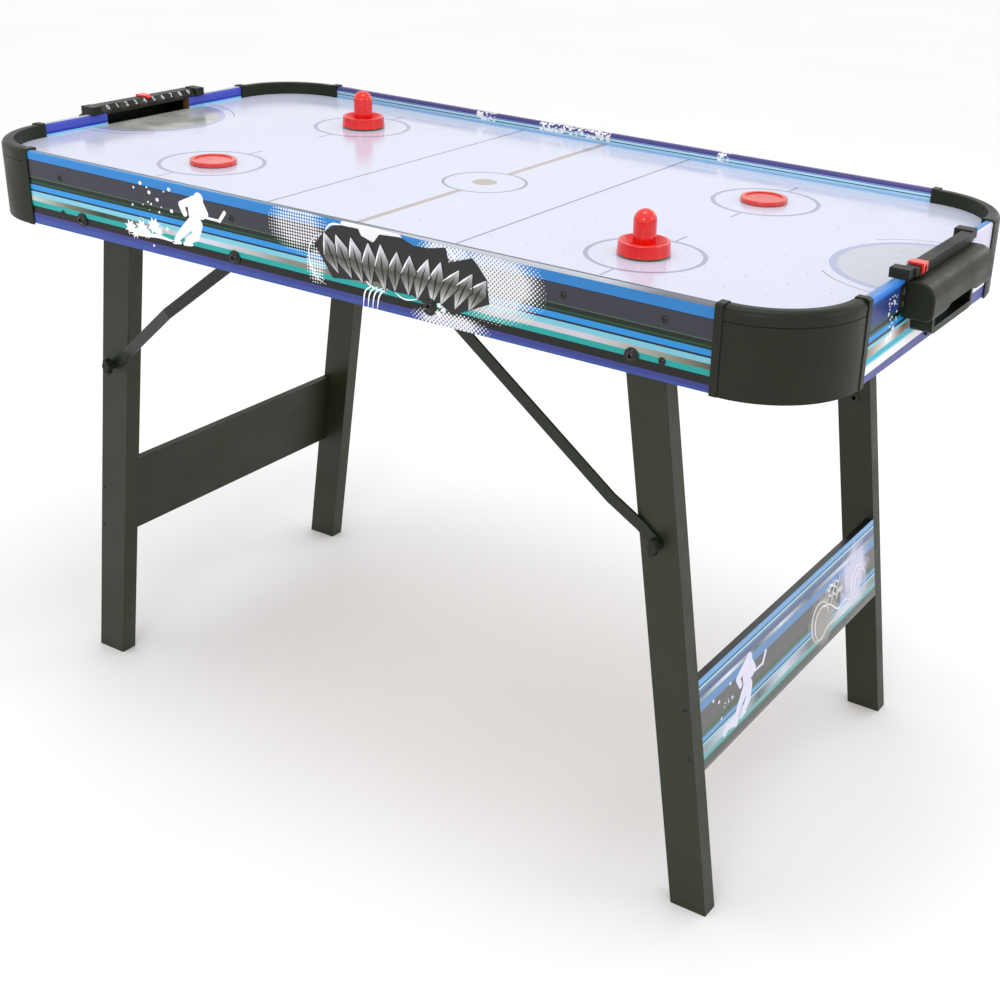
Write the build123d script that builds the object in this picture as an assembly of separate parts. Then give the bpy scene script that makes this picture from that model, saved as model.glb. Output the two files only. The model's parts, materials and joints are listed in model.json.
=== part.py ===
"""Folding air hockey table, 1.22 m long: box of aprons, perforated field over an air plenum with a
blower, two goals with score rails, two nesting pairs of splayed legs with screw-down braces,
two pushers and two pucks.

Frame: X along the table, Y across it (front is -Y), Z up, origin on the floor under the centre.
Front and rear parts mirror each other in Y. Left and right parts mirror each other in X, apart
from the left legs, which stand closer together so that they fold inside the right ones.
"""
import os
from math import atan2, cos, degrees, hypot, radians, sin, tan

from build123d import *

# Box
LENGTH = 1220.0
WIDTH = 610.0
HEIGHT = 762.0
APRON_HEIGHT = 93.5
WALL = 12.0
CORNER_RADIUS = 107.0
APRON_TOP_RADIUS = 4.0

# Field and air plenum
RAIL_DROP = 16.5
BOARD_THICKNESS = 3.0
PLENUM_DEPTH = 20.0
BOARD_FIT = 0.2
AIR_HOLE_RADIUS = 0.8
AIR_HOLE_PITCH = 50.0
AIR_HOLE_COUNT_X = 23
AIR_HOLE_COUNT_Y = 11
BATTEN_WIDTH = 12.0
CLEAT_WIDTH = 8.0
CLEAT_HEIGHT = 7.0

# Corner caps
CAP_PROUD = 2.0
CAP_WALL = 6.0
CAP_LIP = 3.0
CAP_RIB_LENGTH = 9.0
CAP_ARC_PROUD = 0.8
CAP_CROWN = 8.0
RIB_CROWN = 4.5
GROOVE_DROP = 16.0
GROOVE_DEPTH = 0.8

# Goals
GOAL_HALF_WIDTH = 78.5
HOOD_HALF_LENGTH = 96.0
HOOD_DEPTH = 35.0
HOOD_BOTTOM = 717.3
HOOD_TOP = 759.3
HOOD_WALL = 2.5
HOOD_CROWN = 19.0
HOOD_KEEL = 9.0
HOOD_ROUND = 2.3
BIN_HALF_LENGTH = 64.0
BIN_DEPTH = 25.0
BIN_BOTTOM = 694.0
BIN_LIP = 702.0
REACH_TOP = 727.0
RAIL_HALF_LENGTH = 91.0
RAIL_BOTTOM = 759.8
RAIL_TOP = 771.5
NUMBER_FACE = 6.6
END_BLOCK_TOP = 773.0
SLIDER_WIDTH = 14.0
SLIDER_GAP = 0.3
LEFT_SLIDER_Y = 5.0
RIGHT_SLIDER_Y = -70.0

# Legs and hinges
HINGE_X = 402.5
HINGE_Z = 688.5
LEG_WIDTH = 47.8
LEG_THICKNESS = 23.5
SPLAY = 8.46
RIGHT_LEG_OUTER_Y = 281.5
LEFT_LEG_OUTER_Y = 250.0
BOLT_RADIUS = 4.0
RUNNING_CLEARANCE = 0.05
SIDE_GAP = 0.3
PANEL_START = 395.0
PANEL_END = 512.0
PANEL_THICKNESS = 12.0
PANEL_SCREW_STATIONS = (421.5, 485.0)

# Braces and knobs
BRACE_X = 144.5
BRACE_WIDTH = 14.0
BRACE_THICKNESS = 3.0
BRACE_TOP_FACE_Y = 292.2
KNOB_HEIGHT_Z = 472.0
STUD_RADIUS = 3.0
KNOB_HALF_HEIGHT = 11.0
KNOB_LOBE = 4.4
KNOB_HUB = 6.4
LEFT_BEND = (172.0, 330.0)
RIGHT_BEND = (290.0, 335.0)

# Pushers and pucks
PLAY_X = 324.0
PLAY_Y = 151.5
AIR_GAP = 0.3
FELT_THICKNESS = 2.0
PUSHER_RADIUS = 30.5
RIM_HEIGHT = 16.4
HANDLE_RADIUS = 13.2
HANDLE_HEIGHT = 38.4
PUCK_RADIUS = 30.0
PUCK_HEIGHT = 6.0

# Blower, under the tray
BLOWER_X = -300.0
BLOWER_RADIUS = 55.0
BLOWER_DEPTH = 36.0
BLOWER_FLANGE = 64.0
BLOWER_OUTLET = 30.0
MOTOR_RADIUS = 15.0
IMPELLER_BLADES = 7

# Inlet and switch, in the rear apron
SOCKET_Z = 692.0
INLET_X = -40.0
SWITCH_X = 10.0
ROCKER_TILT = 7.0

half_length = LENGTH / 2
half_width = WIDTH / 2
apron_bottom = HEIGHT - APRON_HEIGHT
inner_x = half_length - WALL
inner_y = half_width - WALL
corner_x = half_length - CORNER_RADIUS
corner_y = half_width - CORNER_RADIUS
field_top = HEIGHT - RAIL_DROP
board_bottom = field_top - BOARD_THICKNESS
tray_top = board_bottom - PLENUM_DEPTH
tray_bottom = tray_top - BOARD_THICKNESS
leg_half = LEG_WIDTH / 2
knob_x = HINGE_X + (HINGE_Z - KNOB_HEIGHT_Z) * tan(radians(SPLAY))
brace_run = knob_x - BRACE_X
brace_drop = HINGE_Z - KNOB_HEIGHT_Z
brace_length = hypot(brace_run, brace_drop)
brace_angle = degrees(atan2(brace_drop, brace_run))
knob_station = brace_drop / cos(radians(SPLAY))

nodes = {}


def block(x0, x1, y0, y1, z0, z1):
    """A box between two corners."""
    return Pos((x0 + x1) / 2, (y0 + y1) / 2, (z0 + z1) / 2) * Box(x1 - x0, y1 - y0, z1 - z0)


def rod(radius, y0, y1, x=0.0, z=0.0):
    """A cylinder along Y, between two values of Y."""
    return Pos(x, (y0 + y1) / 2, z) * Rot(90, 0, 0) * Cylinder(radius, abs(y1 - y0))


def rod_x(radius, x0, x1, y=0.0, z=0.0):
    """A cylinder along X, between two values of X."""
    return Pos((x0 + x1) / 2, y, z) * Rot(0, 90, 0) * Cylinder(radius, abs(x1 - x0))


def disc(radius, z0, z1, x=0.0, y=0.0):
    """A cylinder along Z, between two heights."""
    return Pos(x, y, (z0 + z1) / 2) * Cylinder(radius, z1 - z0)


def outline(plane, *points):
    """A closed straight-sided face through the points, facing along the plane's normal."""
    return plane * make_face(Polyline(*points, close=True))


def flip_x(shape):
    return mirror(shape, about=Plane.YZ)


def flip_y(shape):
    return mirror(shape, about=Plane.XZ)


def both_y(solids):
    return solids + [flip_y(solid) for solid in solids]


def both_x(solids):
    return solids + [flip_x(solid) for solid in solids]


def dome(radius, height, y, x, z):
    """A low domed bolt head whose flat back is at -y and whose crown faces -Y."""
    ball = (radius * radius + height * height) / (2 * height)
    head = Pos(x, -y + ball - height, z) * Sphere(ball)
    wide = 2 * radius
    return head & block(x - wide, x + wide, -y - 2 * height, -y, z - wide, z + wide)


def hex_socket(across, depth, face_y, x, z):
    """Cutter for a hexagonal drive, sunk from face_y towards the rear."""
    prism = extrude(Plane.XZ * RegularPolygon(across / 2, 6, major_radius=False), depth, both=True)
    return Pos(x, face_y, z) * prism


def cross_slot(face_y, x, z):
    """Cutter for a small cross drive in a screw head."""
    bar = Box(3.6, 2.0, 0.8)
    return Pos(x, face_y, z) * (bar + Rot(0, 90, 0) * bar)


def ring_y(outer, inner, y0, y1, x, z):
    return rod(outer, y0, y1, x, z) - rod(inner, y0 - 1, y1 + 1, x, z)


def hex_nut(across, bore, y0, y1, x, z):
    """A hexagonal nut along Y."""
    prism = extrude(Plane.XZ * RegularPolygon(across / 2, 6, major_radius=False), (y1 - y0) / 2, both=True)
    return Pos(x, (y0 + y1) / 2, z) * prism - rod(bore, y0 - 1, y1 + 1, x, z)


# Screws and bolts that go through the aprons

upper_screws_x = (-438.0, -147.0, 317.0, 438.0)
upper_screw_z = 735.0
block_screw_x = 438.0
block_screw_z = 690.0
SCREW_RADIUS = 1.8
SCREW_HEAD = 4.5


def apron_screw(x, z, tip_y):
    head = dome(SCREW_HEAD, 2.4, half_width, x, z) - cross_slot(-half_width - 2.4, x, z)
    return head + rod(SCREW_RADIUS, -half_width - 0.5, -tip_y, x, z)


front_screws = [apron_screw(x, upper_screw_z, inner_y - 9) for x in upper_screws_x]
front_screws += [apron_screw(x, block_screw_z, inner_y - 14) for x in (-block_screw_x, block_screw_x)]
screws = both_y(front_screws)
nodes["apron_screws"] = screws


def pivot_bolt(x, tip_y):
    head = dome(6.8, 4.4, half_width + 1.2, x, HINGE_Z) - hex_socket(4.0, 2.6, -half_width - 5.6, x, HINGE_Z)
    return head + rod(BOLT_RADIUS, -half_width - 1.7, -tip_y, x, HINGE_Z)


def hinge_tip(leg_outer):
    """Y of the end of a hinge bolt: past the leg, a washer and a nut."""
    return leg_outer - LEG_THICKNESS - 8.5


right_hinge = pivot_bolt(HINGE_X, hinge_tip(RIGHT_LEG_OUTER_Y))
left_hinge = pivot_bolt(-HINGE_X, hinge_tip(LEFT_LEG_OUTER_Y))
nodes["hinge_bolts"] = both_y([right_hinge, left_hinge])
brace_nut_face = BRACE_TOP_FACE_Y - BRACE_THICKNESS - SIDE_GAP
nodes["brace_bolts"] = both_y(both_x([pivot_bolt(BRACE_X, brace_nut_face - 3.6)]))

washers = [
    ring_y(8.6, BOLT_RADIUS + 0.2, -half_width - 1.2, -half_width, x, HINGE_Z)
    for x in (-HINGE_X, -BRACE_X, BRACE_X, HINGE_X)
]
nodes["bolt_washers"] = both_y(washers)

bushes = []
nuts = []
for side, leg_outer in ((1, RIGHT_LEG_OUTER_Y), (-1, LEFT_LEG_OUTER_Y)):
    x = side * HINGE_X
    nut_face = -(leg_outer - LEG_THICKNESS - SIDE_GAP)
    bushes.append(ring_y(8.0, BOLT_RADIUS + 0.1, -inner_y, -leg_outer - SIDE_GAP, x, HINGE_Z))
    nuts.append(ring_y(9.0, BOLT_RADIUS + 0.1, nut_face, nut_face + 1.2, x, HINGE_Z))
    nuts.append(hex_nut(13.0, BOLT_RADIUS, nut_face + 1.2, nut_face + 7.2, x, HINGE_Z))
    nuts.append(hex_nut(13.0, BOLT_RADIUS, -brace_nut_face, -brace_nut_face + 3.2, side * BRACE_X, HINGE_Z))
nodes["hinge_bushes"] = both_y(bushes)
nodes["pivot_nuts"] = both_y(nuts)


# Aprons

def long_apron():
    panel = block(-corner_x, corner_x, -half_width, -inner_y, apron_bottom, HEIGHT)
    panel = fillet(panel.edges().filter_by(Axis.X).group_by(Axis.Z)[-1], APRON_TOP_RADIUS)
    for x in (-HINGE_X, -BRACE_X, BRACE_X, HINGE_X):
        panel -= rod(BOLT_RADIUS + 0.1, -half_width - 1, -inner_y + 1, x, HINGE_Z)
    for screw in front_screws:
        panel -= screw
    return panel


def hood_screw(y, z):
    top = half_length + HOOD_WALL
    head = Rot(0, 0, 90) * (dome(SCREW_HEAD, 2.2, top, 0, 0) - cross_slot(-top - 2.2, 0, 0))
    return Pos(0, y, z) * (head + rod_x(SCREW_RADIUS, half_length - 10, half_length + HOOD_WALL + 0.5))


hood_screw_places = ((-101.0, 748.0), (-101.0, 735.0), (101.0, 748.0), (101.0, 735.0), (0.0, 682.0))
right_hood_screws = [hood_screw(y, z) for y, z in hood_screw_places]
nodes["goal_box_screws"] = both_x(right_hood_screws)


def end_apron():
    panel = block(inner_x, half_length, -corner_y, corner_y, apron_bottom, HEIGHT)
    panel = fillet(panel.edges().filter_by(Axis.Y).group_by(Axis.Z)[-1], APRON_TOP_RADIUS)
    panel -= block(inner_x - 1, half_length + 1, -GOAL_HALF_WIDTH, GOAL_HALF_WIDTH, field_top, HEIGHT + 1)
    for screw in right_hood_screws:
        panel -= screw
    return panel


front_apron = long_apron()
nodes["front_apron"] = [front_apron]
rear_apron = flip_y(front_apron)
inlet_hole = rod(5.6, inner_y - 1, half_width + 1, INLET_X, SOCKET_Z)
switch_hole = block(SWITCH_X - 6.6, SWITCH_X + 6.6, inner_y - 1, half_width + 1, SOCKET_Z - 10, SOCKET_Z + 10)
nodes["rear_apron"] = [rear_apron - inlet_hole - switch_hole]
right_end = end_apron()
nodes["right_end_apron"] = [right_end]
nodes["left_end_apron"] = [flip_x(right_end)]


# Corner caps: a channel that wraps the corner, with a rib over the end of each apron

def cap_section(proud, wall, crown_radius, groove=()):
    """Section of the cap in X (radius) and Z, for sweeping about the corner's centre."""
    outer = CORNER_RADIUS + proud
    inner = CORNER_RADIUS - WALL - CAP_LIP
    low = apron_bottom - CAP_PROUD
    high = HEIGHT + proud
    points = [
        (outer, low), *groove, (outer, high),
        (inner, high), (inner, field_top), (inner + CAP_LIP, field_top),
        (inner + CAP_LIP, high - wall), (outer - wall, high - wall), (outer - wall, low),
    ]
    face = outline(Plane.XZ, *points)
    crown = [corner for corner in face.vertices() if corner.Z > high - 0.01]
    face = fillet(max(crown, key=lambda corner: corner.X), crown_radius)
    crown = [corner for corner in face.vertices() if corner.Z > high - 0.01]
    return fillet(min(crown, key=lambda corner: corner.X), CAP_LIP * 0.6)


def corner_cap():
    """The front right cap."""
    arc_outer = CORNER_RADIUS + CAP_ARC_PROUD
    groove_low = HEIGHT - GROOVE_DROP
    groove = (
        (arc_outer, groove_low), (arc_outer - GROOVE_DEPTH, groove_low + GROOVE_DEPTH),
        (arc_outer, groove_low + 2 * GROOVE_DEPTH),
    )
    arc = revolve(cap_section(CAP_ARC_PROUD, CAP_WALL, CAP_CROWN, groove), Axis.Z, -90)
    rib = extrude(cap_section(CAP_PROUD, CAP_PROUD, RIB_CROWN), CAP_RIB_LENGTH)
    side_rib = Pos(0, CAP_RIB_LENGTH, 0) * rib
    front_rib = Rot(0, 0, -90) * rib
    return Pos(corner_x, -corner_y, 0) * (arc + side_rib + front_rib)


front_right_cap = corner_cap()
nodes["corner_cap_front_right"] = [front_right_cap]
nodes["corner_cap_front_left"] = [flip_x(front_right_cap)]
nodes["corner_cap_rear_right"] = [flip_y(front_right_cap)]
nodes["corner_cap_rear_left"] = [flip_x(flip_y(front_right_cap))]


# Field board, plenum and its tray

def board(z):
    sheet = RectangleRounded(2 * (inner_x - BOARD_FIT), 2 * (inner_y - BOARD_FIT), CORNER_RADIUS - WALL - BOARD_FIT)
    return extrude(Pos(0, 0, z) * sheet, BOARD_THICKNESS)


hole_rows = GridLocations(AIR_HOLE_PITCH, AIR_HOLE_PITCH, AIR_HOLE_COUNT_X, AIR_HOLE_COUNT_Y)
air_holes = Sketch() + [place * Circle(AIR_HOLE_RADIUS) for place in hole_rows]
hole_cutter = extrude(Pos(0, 0, board_bottom - 1) * air_holes, BOARD_THICKNESS + 2)
nodes["play_field"] = [board(board_bottom) - hole_cutter]

tray = board(tray_bottom) - disc(BLOWER_OUTLET, tray_bottom - 1, tray_top + 1, BLOWER_X)

front_batten = block(-480, 480, -inner_y + 0.5, -inner_y + 0.5 + BATTEN_WIDTH, tray_top, board_bottom)
for screw in front_screws:
    front_batten -= screw
end_batten = block(inner_x - 0.5 - BATTEN_WIDTH, inner_x - 0.5, -170, 170, tray_top, board_bottom)
field_support = block(200, 200 + BATTEN_WIDTH, -270, -110, tray_top, board_bottom)
nodes["plenum_battens"] = both_y([front_batten]) + both_x([end_batten]) + both_y(both_x([field_support]))

cleat_top = tray_bottom
cleat_bottom = tray_bottom - CLEAT_HEIGHT
front_cleat = block(-470, 470, -inner_y, -inner_y + CLEAT_WIDTH, cleat_bottom, cleat_top)
lead_gap = block(SWITCH_X - 6, SWITCH_X + 6, inner_y - CLEAT_WIDTH - 1, inner_y + 1, cleat_bottom - 1, cleat_top + 1)
end_cleat = block(inner_x - CLEAT_WIDTH, inner_x, -160, 160, cleat_bottom, cleat_top)
rear_cleats = (flip_y(front_cleat) - lead_gap).solids()
nodes["support_cleats"] = [front_cleat] + list(rear_cleats) + both_x([end_cleat])


# Leg stop blocks: wooden wedges that the splayed legs lean against

def leg_edge_x(z):
    """X of the outer edge of a splayed right leg at height z."""
    return HINGE_X + (HINGE_Z - z) * tan(radians(SPLAY)) + leg_half / cos(radians(SPLAY))


def stop_block(leg_outer):
    low, high = 670.0, 710.0
    face = outline(
        Plane.XZ,
        (leg_edge_x(low) + SIDE_GAP, low), (leg_edge_x(high) + SIDE_GAP, high), (462, high), (462, low),
    )
    depth = inner_y - (leg_outer - LEG_THICKNESS + 2)
    return Pos(0, -inner_y + depth, 0) * extrude(face, depth)


stop_blocks = [stop_block(RIGHT_LEG_OUTER_Y), flip_x(stop_block(LEFT_LEG_OUTER_Y))]
nodes["leg_stop_blocks"] = []
for wedge in stop_blocks:
    for screw in front_screws:
        wedge -= screw
    nodes["leg_stop_blocks"].append(wedge)
nodes["leg_stop_blocks"] = both_y(nodes["leg_stop_blocks"])


# Goal boxes, score rails and score sliders (right end)

def hood_section(inset):
    """Section of the hood in X and Z: a deep round above, a tighter one below."""
    back = half_length - (1 if inset else 0)
    front = half_length + HOOD_DEPTH - inset
    low, high = HOOD_BOTTOM + inset, HOOD_TOP - inset
    face = outline(Plane.XZ, (back, low), (back, high), (front, high), (front, low))
    crown = face.vertices().group_by(Axis.X)[-1].sort_by(Axis.Z)[-1]
    face = fillet(crown, HOOD_CROWN - inset)
    keel = face.vertices().group_by(Axis.X)[-1].sort_by(Axis.Z)[0]
    return fillet(keel, HOOD_KEEL - inset)


def goal_box():
    """Half-round hood over the goal mouth, with a puck bin under it and screw ears."""
    outer = extrude(hood_section(0), HOOD_HALF_LENGTH, both=True)
    end_edges = outer.edges().group_by(Axis.Y)
    outer = fillet([edge for edge in end_edges[0] + end_edges[-1] if edge.center().X > half_length], HOOD_ROUND)
    inner = extrude(hood_section(HOOD_WALL), HOOD_HALF_LENGTH - HOOD_WALL, both=True)
    bin_end = half_length + BIN_DEPTH
    bin_outer = block(half_length, bin_end, -BIN_HALF_LENGTH, BIN_HALF_LENGTH, BIN_BOTTOM, HOOD_BOTTOM + 3)
    bin_outer = fillet(bin_outer.edges().filter_by(Axis.X).group_by(Axis.Z)[0], 9.0)
    bin_inner = block(
        half_length - 1, bin_end - HOOD_WALL, -BIN_HALF_LENGTH + HOOD_WALL, BIN_HALF_LENGTH - HOOD_WALL,
        BIN_BOTTOM + HOOD_WALL, HOOD_BOTTOM + 4,
    )
    bin_inner = fillet(bin_inner.edges().filter_by(Axis.X).group_by(Axis.Z)[0], 6.5)
    ears = block(half_length, half_length + HOOD_WALL, -107, 107, 728, 755)
    tab = block(half_length, half_length + HOOD_WALL, -10, 10, 674, BIN_BOTTOM + 4)
    reach = extrude(
        outline(
            Plane.YZ,
            (-58, BIN_LIP), (58, BIN_LIP), (58, HOOD_BOTTOM), (40, REACH_TOP),
            (-40, REACH_TOP), (-58, HOOD_BOTTOM),
        ),
        HOOD_DEPTH,
    )
    reach = Pos(half_length + 10, 0, 0) * reach
    shell = outer + bin_outer + ears + tab - inner - bin_inner - reach
    for screw in right_hood_screws:
        shell -= screw
    return shell


def score_rail():
    """Bar over the goal mouth with a sloped number face inside and a block at each end."""
    section = (
        (inner_x - 0.5, RAIL_BOTTOM), (inner_x - 0.5, RAIL_TOP - NUMBER_FACE),
        (inner_x - 0.5 + NUMBER_FACE, RAIL_TOP), (half_length + 9, RAIL_TOP), (half_length + 9, RAIL_BOTTOM),
    )
    bar = extrude(outline(Plane.XZ, *section), RAIL_HALF_LENGTH, both=True)
    for side in (-1, 1):
        y_low, y_high = sorted((side * (GOAL_HALF_WIDTH - 0.2), side * (RAIL_HALF_LENGTH + 1)))
        bar -= block(inner_x - 2, half_length + 10, y_low, y_high, RAIL_BOTTOM - 1, HEIGHT)
        y_low, y_high = sorted((side * RAIL_HALF_LENGTH, side * (RAIL_HALF_LENGTH + 16)))
        end = block(inner_x - 3.5, half_length + 7, y_low, y_high, HEIGHT, END_BLOCK_TOP)
        bar += fillet(end.edges().group_by(Axis.Z)[-1], 0.8)
    return bar


def score_slider(y):
    """A clip that rides over the rail: two legs down its outer side, a pointer over the numbers."""
    gap = SLIDER_GAP
    half = SLIDER_WIDTH / 2
    back = half_length + 9 + gap
    low = RAIL_TOP + gap
    edge = inner_x - 0.5 + NUMBER_FACE
    section = (
        (back, 763.0), (back, low), (edge - 0.1, low), (edge - 2.2, low - 2.1), (edge - 3.6, low - 0.7),
        (edge - 0.6, low + 2.3), (back + 2.2, low + 2.3), (back + 2.2, 763.0),
    )
    clip = extrude(outline(Plane.XZ, *section), half, both=True)
    clip -= block(back - 1, back + 4, -2.8, 2.8, 760, low - 0.5)
    plan = outline(
        Plane.XY, (edge - 5, -2.4), (edge + 5, -half), (back + 4, -half), (back + 4, half),
        (edge + 5, half), (edge - 5, 2.4),
    )
    clip = clip & Pos(0, 0, 755) * extrude(plan, 30)
    return Pos(0, y, 0) * clip


right_box = goal_box()
right_rail = score_rail()
nodes["right_goal_box"] = [right_box]
nodes["left_goal_box"] = [flip_x(right_box)]
nodes["right_score_rail"] = [right_rail]
nodes["left_score_rail"] = [flip_x(right_rail)]
nodes["right_score_slider"] = [score_slider(RIGHT_SLIDER_Y)]
nodes["left_score_slider"] = [flip_x(score_slider(LEFT_SLIDER_Y))]


# Legs, in a hinge frame: the leg hangs down -Z from the hinge before it is splayed

def splayed(shape):
    """Move a right leg's part from the hinge frame to its place."""
    return Pos(HINGE_X, 0, HINGE_Z) * Rot(0, -SPLAY, 0) * shape


panel_x = leg_half - PANEL_THICKNESS / 2


def panel_screw(leg_outer, station):
    head = dome(3.4, 1.7, leg_outer, panel_x, -station) - cross_slot(-leg_outer - 1.7, panel_x, -station)
    return head + rod(1.8, -leg_outer - 0.4, -leg_outer + LEG_THICKNESS + 18, panel_x, -station)


def leg_parts(leg_outer):
    """Front leg, its threaded insert and its panel screws, for the right pair's side."""
    inner_face = leg_outer - LEG_THICKNESS
    reach = HINGE_Z / cos(radians(SPLAY)) + leg_half
    leg = block(-leg_half, leg_half, -leg_outer, -inner_face, -reach, 0)
    leg += rod(leg_half, -leg_outer, -inner_face)
    leg = chamfer(leg.edges().filter_by(Axis.Z).group_by(Axis.Y)[0], 0.8)
    leg -= rod(BOLT_RADIUS + RUNNING_CLEARANCE, -leg_outer - 1, -inner_face + 1)
    insert = rod(4.6, -leg_outer + 2, -inner_face, 0, -knob_station)
    insert += rod(8.0, -inner_face, -inner_face + 1.2, 0, -knob_station)
    bore = rod(STUD_RADIUS, -leg_outer - 2, -inner_face + 3, 0, -knob_station)
    leg -= insert
    leg -= bore
    pins = [panel_screw(leg_outer, station) for station in PANEL_SCREW_STATIONS]
    for pin in pins:
        leg -= pin
    leg = splayed(leg) - block(HINGE_X - 300, HINGE_X + 300, -400, 0, -200, 0)
    return leg, splayed(insert - bore), [splayed(pin) for pin in pins]


def cross_panel(leg_outer):
    half = leg_outer - LEG_THICKNESS
    panel = block(leg_half - PANEL_THICKNESS, leg_half, -half, half, -PANEL_END, -PANEL_START)
    panel = chamfer(panel.edges().filter_by(Axis.Y), 0.8)
    for station in PANEL_SCREW_STATIONS:
        pin = panel_screw(leg_outer, station)
        panel = panel - pin - flip_y(pin)
    return splayed(panel)


def brace(bend, lower_face):
    """Front right brace: flat at both ends, bent inwards between them. lower_face is |Y| outside."""
    start, end = bend
    upper = BRACE_TOP_FACE_Y
    tail = brace_length + BRACE_WIDTH
    thick = BRACE_THICKNESS
    path = outline(
        Plane.XY,
        (-BRACE_WIDTH, -upper), (start, -upper), (end, -lower_face), (tail, -lower_face),
        (tail, -lower_face + thick), (end, -lower_face + thick), (start, -upper + thick),
        (-BRACE_WIDTH, -upper + thick),
    )
    bar = extrude(path, BRACE_WIDTH, both=True)
    slot = Pos(brace_length / 2, 0, 0) * SlotCenterToCenter(brace_length, BRACE_WIDTH)
    bar = bar & extrude(Plane.XZ * slot, 400)
    bar -= rod(BOLT_RADIUS + RUNNING_CLEARANCE, -upper - 1, -upper + thick + 1)
    bar -= rod(STUD_RADIUS + RUNNING_CLEARANCE, -lower_face - 1, -lower_face + thick + 1, brace_length)
    return Pos(BRACE_X, 0, HINGE_Z) * Rot(0, brace_angle, 0) * bar


def wing_knob(lower_face, leg_outer):
    """Knob with two wings in front of the brace. Its stud ends just short of the leg."""
    back = -lower_face - SIDE_GAP
    reach = KNOB_HALF_HEIGHT - KNOB_LOBE
    wings = Circle(KNOB_HUB) + [Pos(0, side * reach) * Circle(KNOB_LOBE) for side in (-1, 1)]
    wings = fillet(wings.vertices(), 1.5)
    head = Pos(0, back - 5, 0) * extrude(Plane.XZ * wings, 9)
    head = chamfer(head.edges().group_by(Axis.Y)[0], 1.0)
    boss = rod(5.2, back - 6, back)
    stud = rod(STUD_RADIUS, back - 1, -leg_outer - SIDE_GAP)
    return Pos(knob_x, 0, KNOB_HEIGHT_Z) * (boss + head + stud)


for name, leg_outer, bend, place in (
    ("right", RIGHT_LEG_OUTER_Y, RIGHT_BEND, lambda shape: shape),
    ("left", LEFT_LEG_OUTER_Y, LEFT_BEND, flip_x),
):
    leg, insert, pins = leg_parts(leg_outer)
    nodes[f"{name}_front_leg"] = [place(leg)]
    nodes[f"{name}_rear_leg"] = [flip_y(place(leg))]
    nodes[f"{name}_leg_inserts"] = both_y([place(insert)])
    nodes[f"{name}_panel_screws"] = both_y([place(pin) for pin in pins])
    nodes[f"{name}_cross_panel"] = [place(cross_panel(leg_outer))]
    lower_face = leg_outer + 2 * SIDE_GAP + BRACE_THICKNESS
    bar = place(brace(bend, lower_face))
    knob = place(wing_knob(lower_face, leg_outer))
    nodes[f"{name}_front_brace"] = [bar]
    nodes[f"{name}_rear_brace"] = [flip_y(bar)]
    nodes[f"{name}_front_knob"] = [knob]
    nodes[f"{name}_rear_knob"] = [flip_y(knob)]


# Pushers and pucks: they float a hair above the field

def turned(*points):
    """A solid turned about Z from (radius, height) points."""
    return revolve(outline(Plane.XZ, *points), Axis.Z, 360)


def pusher():
    """Ring base with a dished top and a straight domed handle, standing at z = 0 on its felt."""
    base = FELT_THICKNESS
    rim = PUSHER_RADIUS - 1.3
    body = turned(
        (0, base), (PUSHER_RADIUS, base), (rim, RIM_HEIGHT), (rim - 3, RIM_HEIGHT), (21, 8.5), (16, 8), (0, 8),
    )
    body = fillet(body.edges().filter_by(GeomType.CIRCLE).group_by(Axis.Z)[-1], 1.3)
    foot = turned((0, 7), (18, 7), (18, 8.2), (15, 9.4), (HANDLE_RADIUS, 13), (0, 13))
    crown = Pos(0, 0, HANDLE_HEIGHT) * Sphere(HANDLE_RADIUS)
    handle = disc(HANDLE_RADIUS, 12, HANDLE_HEIGHT) + crown
    return body + foot + handle


def felt():
    return disc(PUSHER_RADIUS - 1.5, 0, FELT_THICKNESS) - disc(16, -1, FELT_THICKNESS + 1)


def puck():
    body = disc(PUCK_RADIUS, 0, PUCK_HEIGHT)
    body = fillet(body.edges(), 1.5)
    return body - disc(24, PUCK_HEIGHT - 1.4, PUCK_HEIGHT + 1) - disc(24, -1, 1.4)


rest_z = field_top + AIR_GAP
for name, x, y in (("right", PLAY_X, -PLAY_Y), ("left", -PLAY_X, PLAY_Y)):
    nodes[f"{name}_pusher"] = [Pos(x, y, rest_z) * pusher()]
    nodes[f"{name}_pusher_felt"] = [Pos(x, y, rest_z) * felt()]
    nodes[f"{name}_puck"] = [Pos(x, -y, rest_z) * puck()]


# Blower, built about its own axis and moved under the tray

blower_low = tray_bottom - BLOWER_DEPTH
spoke_low = tray_bottom - 8
flange_screw_radius = (BLOWER_RADIUS + BLOWER_FLANGE) / 2


def blower_housing():
    cup = disc(BLOWER_RADIUS, blower_low, tray_bottom) + disc(BLOWER_FLANGE, tray_bottom - 2.5, tray_bottom)
    cup -= disc(BLOWER_RADIUS - 2.5, blower_low - 1, tray_bottom - 2.5)
    cup -= disc(BLOWER_OUTLET, blower_low, tray_bottom + 1)
    seat = disc(MOTOR_RADIUS + 2, spoke_low, tray_bottom - 2.5)
    for spoke in range(3):
        seat += Rot(0, 0, 120 * spoke) * block(0, BLOWER_RADIUS - 2, -2, 2, spoke_low, tray_bottom - 2.5)
    return cup + seat


def blower_motor():
    body = disc(MOTOR_RADIUS, spoke_low - 17, spoke_low)
    return body - disc(1.5 + RUNNING_CLEARANCE, spoke_low - 18, spoke_low - 4)


def blower_impeller():
    top = spoke_low - 17.8
    hub = disc(16, top - 6, top) + disc(1.5, top - 1, spoke_low - 5)
    for blade in range(IMPELLER_BLADES):
        fin = Pos(32, 0, top - 3) * Rot(32, 0, 0) * Box(36, 8, 1.6)
        hub += Rot(0, 0, 360 * blade / IMPELLER_BLADES) * fin
    return hub


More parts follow.
